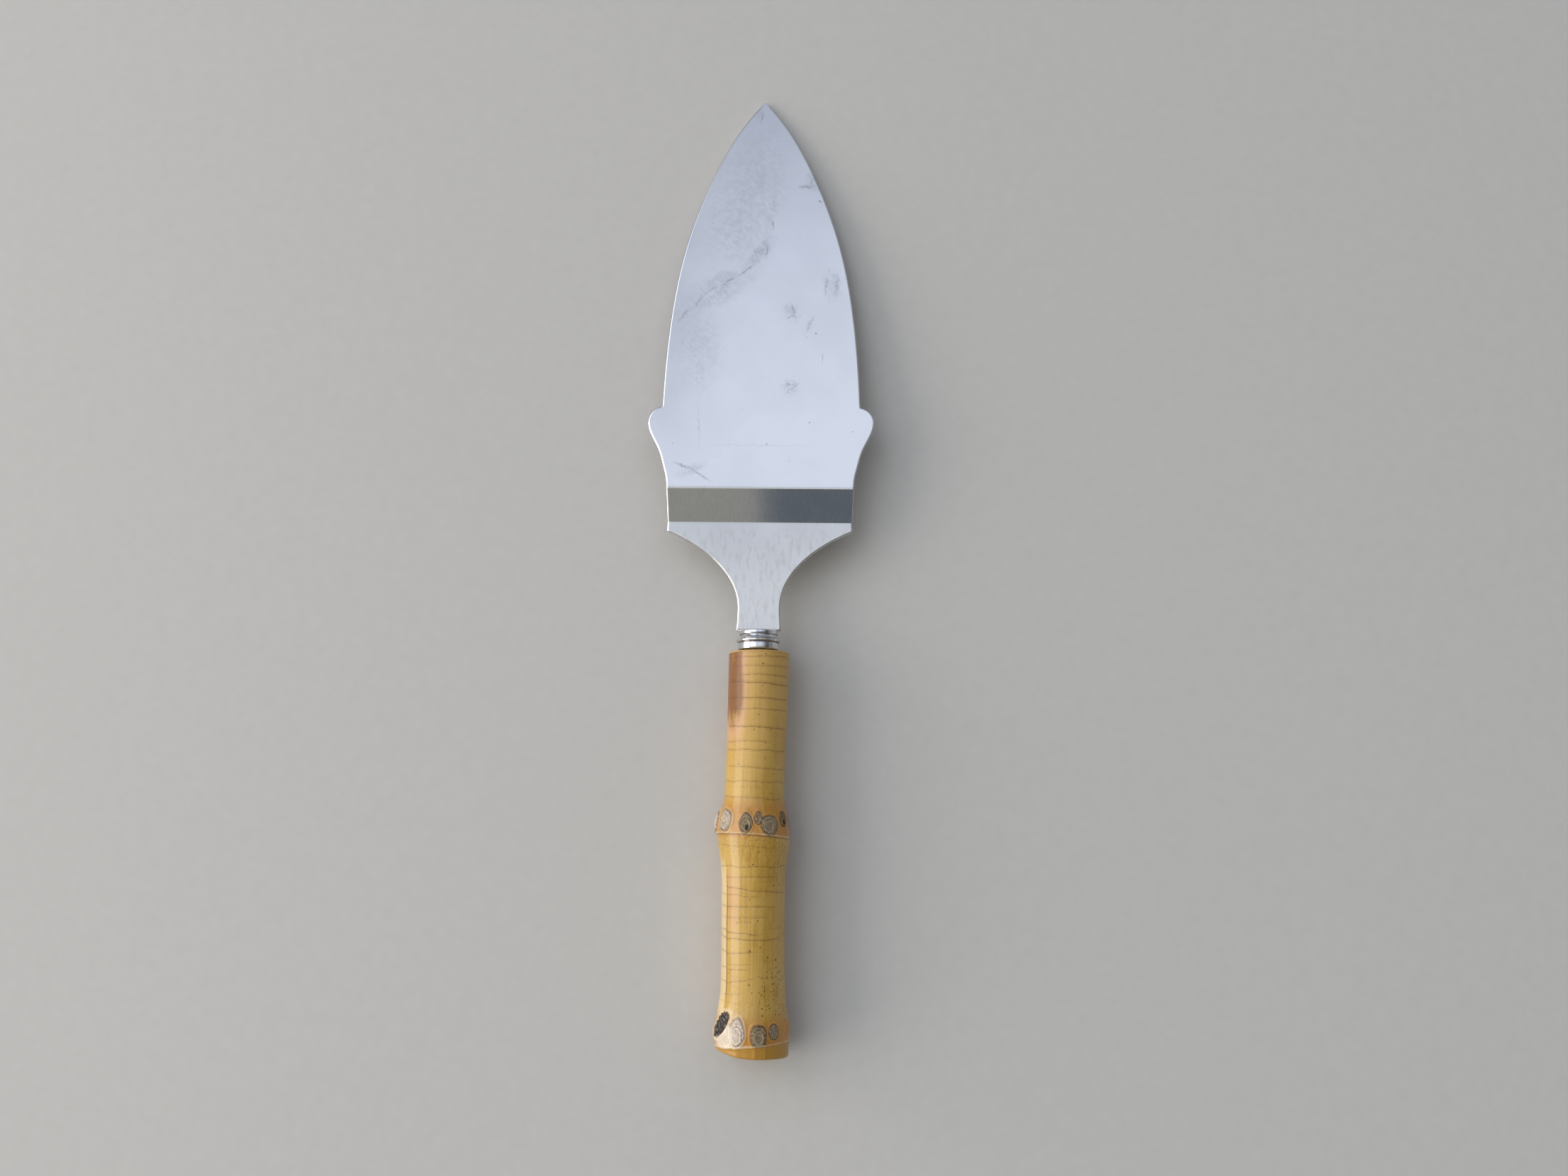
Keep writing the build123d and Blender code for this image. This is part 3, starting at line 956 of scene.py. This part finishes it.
# Fine dark marks on the blade, given in the same way.
SCUFFS = [
    (2.6, 56.5, 0.3, 2.2, 5.0, 0.6),
    (1.1, 48.3, 0.3, 2.0, -13.0, 0.55),
    (3.0, 64.4, 0.3, 1.0, -7.0, 0.55),
    (-4.7, 42.1, 0.35, 3.4, -50.0, 0.5),
    (-10.2, 38.3, 0.4, 2.9, -53.0, 0.5),
    (-14.4, 35.9, 0.35, 2.4, -51.0, 0.45),
    (-18.1, 32.1, 0.4, 2.3, -25.0, 0.5),
    (-22.0, 27.8, 0.4, 2.6, -35.0, 0.5),
    (17.8, 37.1, 0.28, 3.2, -6.0, 0.45),
    (20.9, 37.8, 0.28, 3.5, -6.0, 0.4),
    (8.5, 29.8, 0.28, 2.3, 14.0, 0.5),
    (7.7, 27.6, 1.7, 0.28, 17.0, 0.45),
    (13.2, 25.4, 0.28, 3.3, -23.0, 0.35),
    (14.7, 22.8, 0.5, 0.5, 0.0, 0.6),
    (16.2, 64.1, 0.5, 0.5, 0.0, 0.6),
    (12.3, 68.9, 2.8, 0.35, 5.0, 0.45),
    (16.8, 15.3, 0.22, 2.4, -4.0, 0.3),
    (7.8, 7.3, 2.4, 0.28, 10.0, 0.35),
    (8.2, 6.0, 0.28, 2.7, -43.0, 0.35),
    (13.3, -4.1, 0.45, 0.45, 0.0, 0.5),
    (1.6, -10.4, 0.4, 0.4, 0.0, 0.5),
    (24.9, -6.5, 0.4, 0.4, 0.0, 0.45),
    (-17.0, -4.7, 0.22, 7.5, 3.0, 0.22),
    (-0.7, -10.7, 18.0, 0.22, 0.0, 0.14),
    (-20.8, -16.7, 2.9, 0.45, -20.0, 0.6),
    (-16.2, -19.2, 3.6, 0.4, -34.0, 0.5),
    (-0.9, 91.8, 0.28, 2.2, -12.0, 0.55),
]


def patch_mask(tree, place, patches):
    """Soft oval patches, each with its own size, turn and strength."""
    total = 0.0
    for x, y, half_w, half_l, turn, strength in patches:
        mapping = tree.add("ShaderNodeMapping", {"Vector": place}, vector_type="TEXTURE")
        mapping.inputs["Location"].default_value = (x, y, 0)
        mapping.inputs["Rotation"].default_value = (0, 0, math.radians(turn))
        mapping.inputs["Scale"].default_value = (half_w, half_l, 60)
        shape = tree.span(tree.length(mapping.outputs[0]), 1.3, 0.2, 0.0, strength)
        total = tree.most(total, shape)
    return total


def smudge_mask(tree, place):
    """Patches where the steel has gone matt, broken up into a fine slanting hatch."""
    slant = tree.add("ShaderNodeVectorRotate", {"Vector": place, "Angle": math.radians(52)},
                     rotation_type="Z_AXIS").outputs[0]
    hatch = tree.noise(tree.stretch(0.7, 2.4, 0.7, slant), 1.0, 4.0, 0.65)
    rough = tree.noise(place, 0.5, 4.0, 0.6)
    broken = tree.plus(tree.span(hatch, 0.36, 0.7, 0.1, 0.62),
                       tree.span(rough, 0.4, 0.65, 0.0, 0.5))
    return tree.math("MULTIPLY", patch_mask(tree, place, SMUDGES), broken, clamp=True)


def scuff_mask(tree, place):
    """Fine scuffs, dots and water marks with uneven edges."""
    grit = tree.noise(place, 2.4, 3.0, 0.7)
    return tree.product(patch_mask(tree, place, SCUFFS), tree.span(grit, 0.36, 0.6, 0.25, 1.0))


def steel_material():
    """Polished stainless sheet: faint grain, matt smudges, dark marks, hairline scratches, and painted
    shade on the neck.
    """
    tree = Paint("satin_sheet_steel")
    sway = tree.noise(tree.place, 0.8, 2.0)
    nudge = tree.math("MULTIPLY", tree.minus(sway, 0.5), 1.4)
    x, y, z = tree.split(tree.place)
    place = tree.join(tree.plus(x, nudge), tree.minus(y, nudge), z)
    smudge = smudge_mask(tree, place)
    scuff = scuff_mask(tree, place)
    cloud = tree.noise(tree.place, 0.06, 4.0, 0.55)
    grain = tree.noise(tree.stretch(5.0, 0.16, 5.0), 1.0, 3.0, 0.6)
    streak = tree.noise(tree.stretch(2.2, 0.03, 2.2), 1.0, 4.0, 0.7)
    spots = tree.span(tree.noise(tree.place, 1.1, 2.0, 0.4), 0.74, 0.79, 0.0, 0.35)
    lines = tree.noise(tree.stretch(0.35, 3.2, 1.0), 1.0, 1.0, 0.5, 0.4)
    hair = tree.band(lines, 0.5, 0.005)
    hair = tree.product(hair, tree.span(tree.noise(tree.place, 0.08, 2.0), 0.55, 0.68))
    tree.colour = tree.mix(tree.span(cloud, 0.35, 0.65), srgb(220, 220, 221), srgb(225, 225, 226))
    tree.cover(smudge, srgb(184, 184, 187))
    tree.cover(tree.most(scuff, spots), srgb(120, 116, 118))
    on_step = tree.product(tree.span(y, CREST_Y - 1, CREST_Y), tree.span(y, FOOT_Y + 1, FOOT_Y))
    tree.cover(tree.product(on_step, tree.span(streak, 0.35, 0.7, 0.0, 0.3)), srgb(190, 190, 186))
    # Painted shade: a mottled, slightly warm darkening on the neck stands in for the dimmer reflection
    # there.
    shaded_neck = tree.span(y, CREST_Y, CREST_Y - 4)
    mottle = tree.noise(tree.stretch(0.9, 0.25, 0.9), 1.0, 4.0, 0.65)
    mottle = tree.span(mottle, 0.45, 0.7, 0.0, 0.5)
    tree.cover(tree.product(shaded_neck, mottle), srgb(202, 192, 186))
    rough = tree.span(cloud, 0.3, 0.7, 0.075, 0.115)
    rough = tree.product(rough, tree.span(on_step, 0.0, 1.0, 1.0, 0.6))
    rough = tree.plus(rough, tree.span(grain, 0.3, 0.7, -0.01, 0.015))
    rough = tree.plus(rough, tree.product(smudge, 0.3))
    rough = tree.plus(rough, tree.product(tree.most(hair, scuff), 0.2), clamp=True)
    height = tree.plus(tree.product(grain, 0.4), tree.product(hair, -0.6))
    return tree.finish(Metallic=1.0, Roughness=rough, Normal=tree.bump(height, 0.0025))


# ---------------------------------------------------------------- other metals and cement

def chrome_material():
    """Bright plating with brown grime in the grooves and a slightly worn band."""
    tree = Paint("worn_chrome")
    grime = tree.mark("grime")
    patch = tree.noise(tree.stretch(1.0, 0.5, 1.0), 1.3, 4.0, 0.65)
    fine = tree.noise(tree.stretch(6, 0.8, 6), 1.0, 2.0)
    worn = tree.span(patch, 0.45, 0.68, 0.0, 0.7)
    tree.colour = tree.mix(worn, srgb(226, 228, 234), srgb(190, 178, 160))
    dirty = tree.product(grime, tree.span(patch, 0.25, 0.6, 0.6, 1.0))
    tree.cover(dirty, srgb(66, 56, 50))
    rough = tree.plus(tree.span(patch, 0.4, 0.75, 0.06, 0.22), tree.product(dirty, 0.35))
    return tree.finish(Metallic=1.0, Roughness=rough, Normal=tree.bump(fine, 0.003))


def solder_material():
    """Dull grey solder with a slightly pitted skin."""
    tree = Paint("soft_solder")
    lumps = tree.noise(tree.place, 1.6, 4.0, 0.6)
    tree.colour = tree.mix(lumps, srgb(120, 120, 120), srgb(172, 171, 168))
    rough = tree.span(lumps, 0.3, 0.7, 0.38, 0.6)
    return tree.finish(Metallic=0.9, Roughness=rough, Normal=tree.bump(lumps, 0.05))


def rod_material():
    """Drawn steel rod with lengthwise drawing lines."""
    tree = Paint("drawn_rod_steel")
    lines = tree.noise(tree.stretch(4, 0.1, 4), 1.0, 3.0)
    tree.colour = tree.mix(lines, srgb(128, 128, 130), srgb(170, 171, 174))
    rough = tree.span(lines, 0.3, 0.7, 0.25, 0.42)
    return tree.finish(Metallic=1.0, Roughness=rough, Normal=tree.bump(lines, 0.01))


def cement_material():
    """Dark, grainy handle cement."""
    tree = Paint("dark_cement")
    grit = tree.noise(tree.place, 2.5, 5.0, 0.7)
    tree.colour = tree.mix(grit, srgb(34, 26, 20), srgb(78, 62, 46))
    return tree.finish(Roughness=0.75, Normal=tree.bump(grit, 0.05))


# ---------------------------------------------------------------- bamboo

def bamboo_skin(tree, y):
    """Golden skin with faint fibres and a fine mottle, duller towards the front, darker at the nodes."""
    fibre = tree.noise(tree.stretch(2.0, 0.06, 2.0), 1.0, 4.0, 0.6)
    mottle = tree.noise(tree.stretch(1.0, 0.7, 1.0), 2.7, 3.0, 0.65)
    blotch = tree.noise(tree.stretch(0.16, 0.07, 0.16), 1.0, 3.0, 0.5)
    tree.colour = tree.mix(tree.span(fibre, 0.3, 0.7), srgb(192, 147, 55), srgb(211, 171, 79))
    tree.cover(tree.span(mottle, 0.38, 0.7, 0.0, 0.38), srgb(160, 112, 46))
    tree.cover(tree.span(blotch, 0.42, 0.62, 0.0, 0.4), srgb(214, 177, 96))
    tree.cover(tree.span(y, -108, -72, 0.0, 0.65), srgb(210, 168, 98))
    near_mid = tree.product(tree.span(y, -103, -108.5), tree.span(y, -115, -113.4))
    near_butt = tree.span(y, -155.5, -160)
    node = tree.product(tree.most(near_mid, near_butt), tree.span(blotch, 0.3, 0.65, 0.45, 0.95))
    tree.cover(node, srgb(186, 122, 28))
    below = tree.product(tree.span(y, -119.5, -115.5), tree.span(y, -113.4, -114.2))
    tree.cover(tree.product(below, tree.span(mottle, 0.45, 0.7, 0.0, 0.4)), srgb(140, 88, 34))
    return fibre, mottle


def bamboo_stains_and_sheen(tree, fibre):
    """Brown stain and pink edge at the front left, a pink streak that is partly painted sheen, cream strip
    left of the groove.
    """
    cloud = tree.noise(tree.stretch(0.35, 0.14, 0.35), 1.0, 4.0, 0.6)
    stain = tree.product(tree.mark("stain"), tree.span(cloud, 0.25, 0.6, 0.55, 1.0))
    tree.cover(tree.product(tree.band(stain, 0.35, 0.35), 0.6), srgb(213, 160, 125))
    tree.cover(tree.span(stain, 0.25, 0.8, 0.0, 0.92), srgb(130, 80, 42))
    # Pink streak over the window's highlight band: partly a pink tinge of the skin, partly painted sheen.
    tree.cover(tree.product(tree.mark("pink"), 0.45), srgb(210, 154, 104))
    cream = tree.product(tree.mark("cream"), tree.span(fibre, 0.3, 0.7, 0.7, 0.95))
    tree.cover(cream, srgb(236, 206, 150))


def bamboo_specks(tree, y):
    """Dark specks: some single ones, and a crowd on the lower right near the butt."""
    arc = tree.mark("arc")
    total = 0.0
    for angle, place, radius in SPECKS:
        gap = tree.join(tree.minus(arc, angle * ARC), tree.minus(y, place))
        total = tree.most(total, tree.span(tree.length(gap), radius * 1.2, radius * 0.5))
    crowd = tree.mark("specks")
    flat = tree.join(tree.math("MULTIPLY", arc, 1.5), tree.math("MULTIPLY", y, 1.25))
    cells = tree.add("ShaderNodeTexVoronoi", {"Vector": flat, "Scale": 1.0}, voronoi_dimensions="2D")
    chance, size, _ = tree.split(cells.outputs["Color"])
    reach = tree.minus(cells.outputs["Distance"], tree.span(size, 0.0, 1.0, 0.04, 0.24))
    shown = tree.math("GREATER_THAN", chance, tree.span(crowd, 0.0, 1.0, 0.985, 0.45))
    total = tree.most(total, tree.product(tree.span(reach, 0.08, 0.0), shown))
    tree.cover(tree.product(total, 0.8), srgb(84, 50, 22))


def scar_tone(tree, flake, patchy, reach, disc, edge, ragged, pale):
    """Light and dark of the root scars: flakes, rings, a pale ring on the recessed disc's rim and a dark
    ring round it that are partly painted highlight and shade, and a dark outline.
    """
    rings = tree.math("SINE", tree.plus(tree.product(reach, 36.0), tree.product(ragged, 14.0)))
    tone = tree.plus(tree.span(flake, 0.3, 0.7, 0.18, 0.78), tree.product(rings, patchy, 0.05))
    # Partly painted highlight and shade: a pale ring on the disc's raised rim and a dark ring in the
    # groove round it.
    tone = tree.plus(tone, tree.product(tree.band(disc, 0.98, 0.12), patchy, 0.42))
    tone = tree.minus(tone, tree.product(tree.band(disc, 1.17, 0.14), patchy, 0.42))
    tone = tree.minus(tone, tree.product(tree.band(disc, 0.5, 0.12), patchy, 0.22))
    tone = tree.plus(tone, tree.product(pale, 0.16))
    return tree.minus(tone, tree.product(tree.band(edge, 0.96, 0.13), 0.42), clamp=True)


def cover_scars(tree):
    """Root scars: dull or bleached wood, a black pit in some, and a halo round the pale ones."""
    reach = tree.mark("reach")
    pale = tree.mark("pale")
    disc_x, disc_y = tree.mark("disc_x"), tree.mark("disc_y")
    ragged = tree.minus(tree.noise(tree.place, 2.2, 4.0, 0.65), 0.5)
    disc = tree.plus(tree.length(tree.join(disc_x, disc_y)), tree.product(ragged, 0.22))
    edge = tree.plus(reach, tree.product(ragged, 0.16))
    flake = tree.noise(tree.place, 1.9, 5.0, 0.68)
    patchy = tree.span(tree.noise(tree.place, 0.9, 2.0), 0.35, 0.6, 0.3, 1.0)
    tone = scar_tone(tree, flake, patchy, reach, disc, edge, ragged, pale)
    dull = tree.mix(tone, srgb(62, 44, 24), srgb(176, 152, 108))
    bleached = tree.mix(tone, srgb(120, 98, 82), srgb(238, 222, 200))
    scar = tree.mix(pale, dull, bleached)
    pit_gap = tree.join(tree.minus(disc_x, 0.3), tree.plus(disc_y, 0.35))
    pit = tree.product(tree.span(tree.length(pit_gap), 0.62, 0.42), tree.span(tree.mark("pit"), 0.45, 0.8))
    scar = tree.mix(tree.product(pit, 0.92), scar, srgb(24, 16, 12))
    halo = tree.product(tree.span(edge, 1.4, 1.05), pale, 0.6)
    tree.cover(halo, srgb(222, 196, 156))
    tree.cover(tree.product(tree.band(edge, 1.05, 0.12), patchy, 0.6), srgb(104, 62, 24))
    inside = tree.span(edge, 1.03, 0.97)
    tree.cover(inside, scar)
    return inside


def cover_burn(tree):
    """Charred wood with ash-grey glints, a ragged edge and a cream lip of split fibres."""
    rag = tree.minus(tree.noise(tree.place, 1.6, 5.0, 0.7), 0.5)
    burn = tree.plus(tree.mark("burn"), tree.product(rag, 0.8))
    fleck = tree.noise(tree.stretch(2.2, 1.4, 2.2), 1.0, 5.0, 0.75, 0.5)
    coal = tree.mix(tree.span(fleck, 0.5, 0.66), srgb(40, 26, 22), srgb(158, 150, 142))
    tree.cover(tree.product(tree.band(burn, 1.14, 0.2), 0.7), srgb(232, 214, 182))
    burnt = tree.span(burn, 1.0, 0.93)
    tree.cover(burnt, coal)
    return burnt


def cover_end_grain(tree):
    """Sawn ends: pale wood dotted with dark fibre bundles."""
    pores = tree.add("ShaderNodeTexVoronoi", {"Vector": tree.stretch(1.5, 0.02, 1.5), "Scale": 1.0})
    bundle = tree.span(pores.outputs["Distance"], 0.36, 0.2)
    end_grain = tree.mix(bundle, srgb(206, 168, 104), srgb(132, 88, 44))
    sawn = tree.mark("grain")
    tree.cover(sawn, end_grain)
    return sawn


def bamboo_material():
    """Lacquered bamboo root."""
    tree = Paint("lacquered_bamboo_root")
    y = tree.split(tree.place)[1]
    fibre, mottle = bamboo_skin(tree, y)
    bamboo_stains_and_sheen(tree, fibre)
    bamboo_specks(tree, y)
    cap_tint = tree.mix(mottle, srgb(176, 128, 44), srgb(198, 152, 66))
    tree.cover(tree.product(tree.mark("cap"), 0.8), cap_tint)
    tree.cover(tree.product(tree.mark("check"), 0.95), srgb(100, 58, 22))
    streaky = tree.span(fibre, 0.35, 0.6, 0.45, 0.95)
    tree.cover(tree.product(tree.mark("groove"), streaky), srgb(112, 70, 38))
    # Painted shade: a dark brown line in the ditch just behind each ridge, where the ridge's shade falls;
    # the ditch is also cut into the relief.
    tree.cover(tree.product(tree.mark("shaded_ditch"), 0.75), srgb(110, 66, 26))
    scar = cover_scars(tree)
    bleach = tree.product(tree.mark("bleach"), tree.span(mottle, 0.3, 0.7, 0.7, 1.0))
    tree.cover(bleach, srgb(228, 212, 190))
    tree.cover(tree.product(tree.mark("ridge"), 0.8), srgb(228, 204, 152))
    tree.cover(tree.product(tree.mark("beads"), 0.8), srgb(246, 238, 222))
    burnt = cover_burn(tree)
    sawn = cover_end_grain(tree)
    bare = tree.most(scar, burnt, tree.product(sawn, 0.8))
    rough = tree.plus(tree.span(fibre, 0.3, 0.7, 0.37, 0.44), tree.product(bare, 0.22))
    coat = tree.product(tree.span(y, -80, -115, 0.25, 0.7), tree.span(bare, 0.0, 1.0, 1.0, 0.1))
    coat = tree.product(coat, tree.span(tree.mark("cap"), 0.0, 1.0, 1.0, 0.35))
    flake = tree.noise(tree.place, 3.4, 4.0, 0.7)
    height = tree.plus(tree.product(fibre, 0.6), tree.product(mottle, 0.35))
    height = tree.plus(height, tree.product(flake, bare, 3.0))
    return tree.finish(Roughness=rough, Specular_IOR_Level=0.35, Coat_Weight=coat, Coat_Roughness=0.1,
                       Normal=tree.bump(height, 0.02))


def floor_material():
    """Plain pale matt floor with a barely visible tooth."""
    tree = Paint("pale_floor")
    tooth = tree.noise(tree.place, 0.3, 4.0, 0.6)
    tree.colour = tree.mix(tooth, srgb(196, 193, 187), srgb(204, 201, 195))
    return tree.finish(Roughness=0.8, Normal=tree.bump(tooth, 0.05))


def paint(piece, material):
    """Gives a piece its one material."""
    piece.data.materials.clear()
    piece.data.materials.append(material)


def paint_cad(node, material):
    """Puts a material on a CAD node's object, leaving its mesh alone."""
    for material_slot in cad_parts[node].material_slots:
        material_slot.link = "OBJECT"
        material_slot.material = material


# ---------------------------------------------------------------- studio

# The room's radiance by how far a direction points towards +Y, as (y, red, green, blue). Behind
# the handle stands whoever is looking at it, and beyond the tip the ceiling ends.
CEILING = [
    (-0.60, 0.20, 0.21, 0.22),
    (-0.34, 0.28, 0.28, 0.27),
    (-0.14, 0.31, 0.31, 0.29),
    (-0.02, 0.60, 0.60, 0.57),
    (0.12, 0.66, 0.69, 0.75),
    (0.165, 0.73, 0.77, 0.84),
    (0.215, 0.60, 0.64, 0.71),
    (0.38, 0.78, 0.84, 0.98),
    (0.50, 0.77, 0.83, 0.97),
    (0.60, 0.66, 0.715, 0.85),
    (0.69, 0.47, 0.525, 0.64),
    (0.90, 0.25, 0.27, 0.32),
]
# The dark thing held above the handle: its left end as a sideways direction, and its span.
HELD_END = -0.0212
HELD_SPAN = (-0.33, -0.1)
HELD_COLOUR = (0.13, 0.15, 0.178, 1)
WALL = (0.27, 0.27, 0.26, 1)
WALL_RIGHT = (0.28, 0.285, 0.29, 1)
BACKDROP = srgb(214, 213, 210)

# From here on lengths are metres. Heights above the table have the table's own height added.
FLOOR_HALF = 4.0
FLOOR_GAP = 0.0001
WINDOW_PLACE = (-1.25, -0.15, 0.49)
WINDOW_AIM = (0, -0.06, 0)
WINDOW_SIZE = (1.5, 0.85)
WINDOW_POWER = 13.5
WINDOW_COLOUR = (1.0, 0.965, 0.92)
CAMERA_PLACE = (0.0071, -0.1034, 0.3184)
CAMERA_TILT = 9.9
CAMERA_ROLL = 0.48
CAMERA_LENS = 27.03


def link(name, data):
    """A new object in the scene."""
    thing = bpy.data.objects.new(name, data)
    bpy.context.scene.collection.objects.link(thing)
    return thing


def make_floor():
    """A wide floor just under the part."""
    mesh = bpy.data.meshes.new("floor")
    height = table_height() * MM - FLOOR_GAP
    corners = [(-1, -1), (1, -1), (1, 1), (-1, 1)]
    mesh.from_pydata([(x * FLOOR_HALF, y * FLOOR_HALF, height) for x, y in corners], [], [(0, 1, 2, 3)])
    floor = link("floor", mesh)
    paint(floor, floor_material())


def make_window():
    """A wide, soft window light low on the left."""
    data = bpy.data.lights.new("window", "AREA")
    data.shape = "RECTANGLE"
    data.size, data.size_y = WINDOW_SIZE
    data.energy = WINDOW_POWER
    data.color = WINDOW_COLOUR
    lamp = link("window", data)
    lamp.location = WINDOW_PLACE
    lamp.rotation_mode = "QUATERNION"
    lamp.rotation_quaternion = (Vector(WINDOW_AIM) - lamp.location).to_track_quat("-Z", "Y")


def ceiling_ramp(tree, y):
    """The ceiling's colours from the one behind the handle to the one beyond the tip."""
    first, last = CEILING[0][0], CEILING[-1][0]
    ramp = tree.add("ShaderNodeValToRGB")
    share = tree.add("ShaderNodeMapRange", {"Value": y, "From Min": first, "From Max": last}).outputs[0]
    tree.feed(ramp.inputs[0], share)
    stops = ramp.color_ramp.elements
    while len(stops) < len(CEILING):
        stops.new(0.5)
    for stop, (place, *colour) in zip(stops, CEILING):
        stop.position = (place - first) / (last - first)
        stop.color = (*colour, 1)
    return ramp.outputs[0]


def side_fade(tree, x, y):
    """Brightness by side: more from the upper left, less in the left far corner and on the right."""
    lift = tree.product(tree.span(x, -0.15, -0.3), tree.span(x, -0.85, -0.6))
    corner = tree.product(tree.span(x, -0.045, -0.11), tree.span(x, -0.3, -0.15), tree.span(y, 0.42, 0.52))
    fade = tree.product(tree.span(x, 0.24, 0.8, 1.1, 0.15), tree.span(lift, 0.0, 1.0, 1.0, 2.2))
    return tree.product(fade, tree.span(corner, 0.0, 1.0, 1.0, 0.78))


def make_world():
    """Room light: a cool ceiling, brighter on the left and fading to the right, and dull walls."""
    world = bpy.data.worlds.new("room")
    bpy.context.scene.world = world
    world.use_nodes = True
    tree = Tree(world.node_tree)
    x, y, z = tree.split(tree.add("ShaderNodeTexCoord").outputs["Generated"])
    ceiling = ceiling_ramp(tree, y)
    fade = side_fade(tree, x, y)
    ceiling = tree.mix(1.0, ceiling, tree.join(fade, fade, fade), "MULTIPLY")
    near, far = HELD_SPAN
    held = tree.product(tree.span(x, HELD_END - 0.003, HELD_END + 0.003), tree.span(x, 0.45, 0.4))
    held = tree.product(held, tree.span(y, near - 0.02, near), tree.span(y, far + 0.02, far))
    ceiling = tree.mix(held, ceiling, HELD_COLOUR)
    wall = tree.mix(tree.span(x, 0.25, 0.85), WALL, WALL_RIGHT)
    room = tree.mix(tree.span(z, 0.3, 0.55), wall, ceiling)
    seen = tree.add("ShaderNodeLightPath").outputs["Is Camera Ray"]
    background = tree.add("ShaderNodeBackground", {"Color": tree.mix(seen, room, BACKDROP)})
    output = tree.add("ShaderNodeOutputWorld")
    tree.links.new(background.outputs[0], output.inputs[0])


def make_camera():
    """Camera above the handle, tipped 10 degrees forward, as a hand-held shot from above."""
    data = bpy.data.cameras.new("camera")
    data.lens = CAMERA_LENS
    data.sensor_width = 36
    data.clip_start = 0.01
    data.clip_end = 20
    camera = link("camera", data)
    x, y, above_table = CAMERA_PLACE
    camera.location = (x, y, above_table + table_height() * MM)
    camera.rotation_euler = (math.radians(CAMERA_TILT), 0, math.radians(CAMERA_ROLL))
    bpy.context.scene.camera = camera


# ---------------------------------------------------------------- build

paint(make_blade(), steel_material())
paint(make_ferrule(), chrome_material())
paint(make_handle(), bamboo_material())
paint_cad("ferrule_solder", solder_material())
paint_cad("tang_rod", rod_material())
paint_cad("tang_cement", cement_material())

make_floor()
make_world()
make_window()
make_camera()
bpy.context.scene.view_settings.view_transform = "Standard"

bpy.context.view_layer.update()
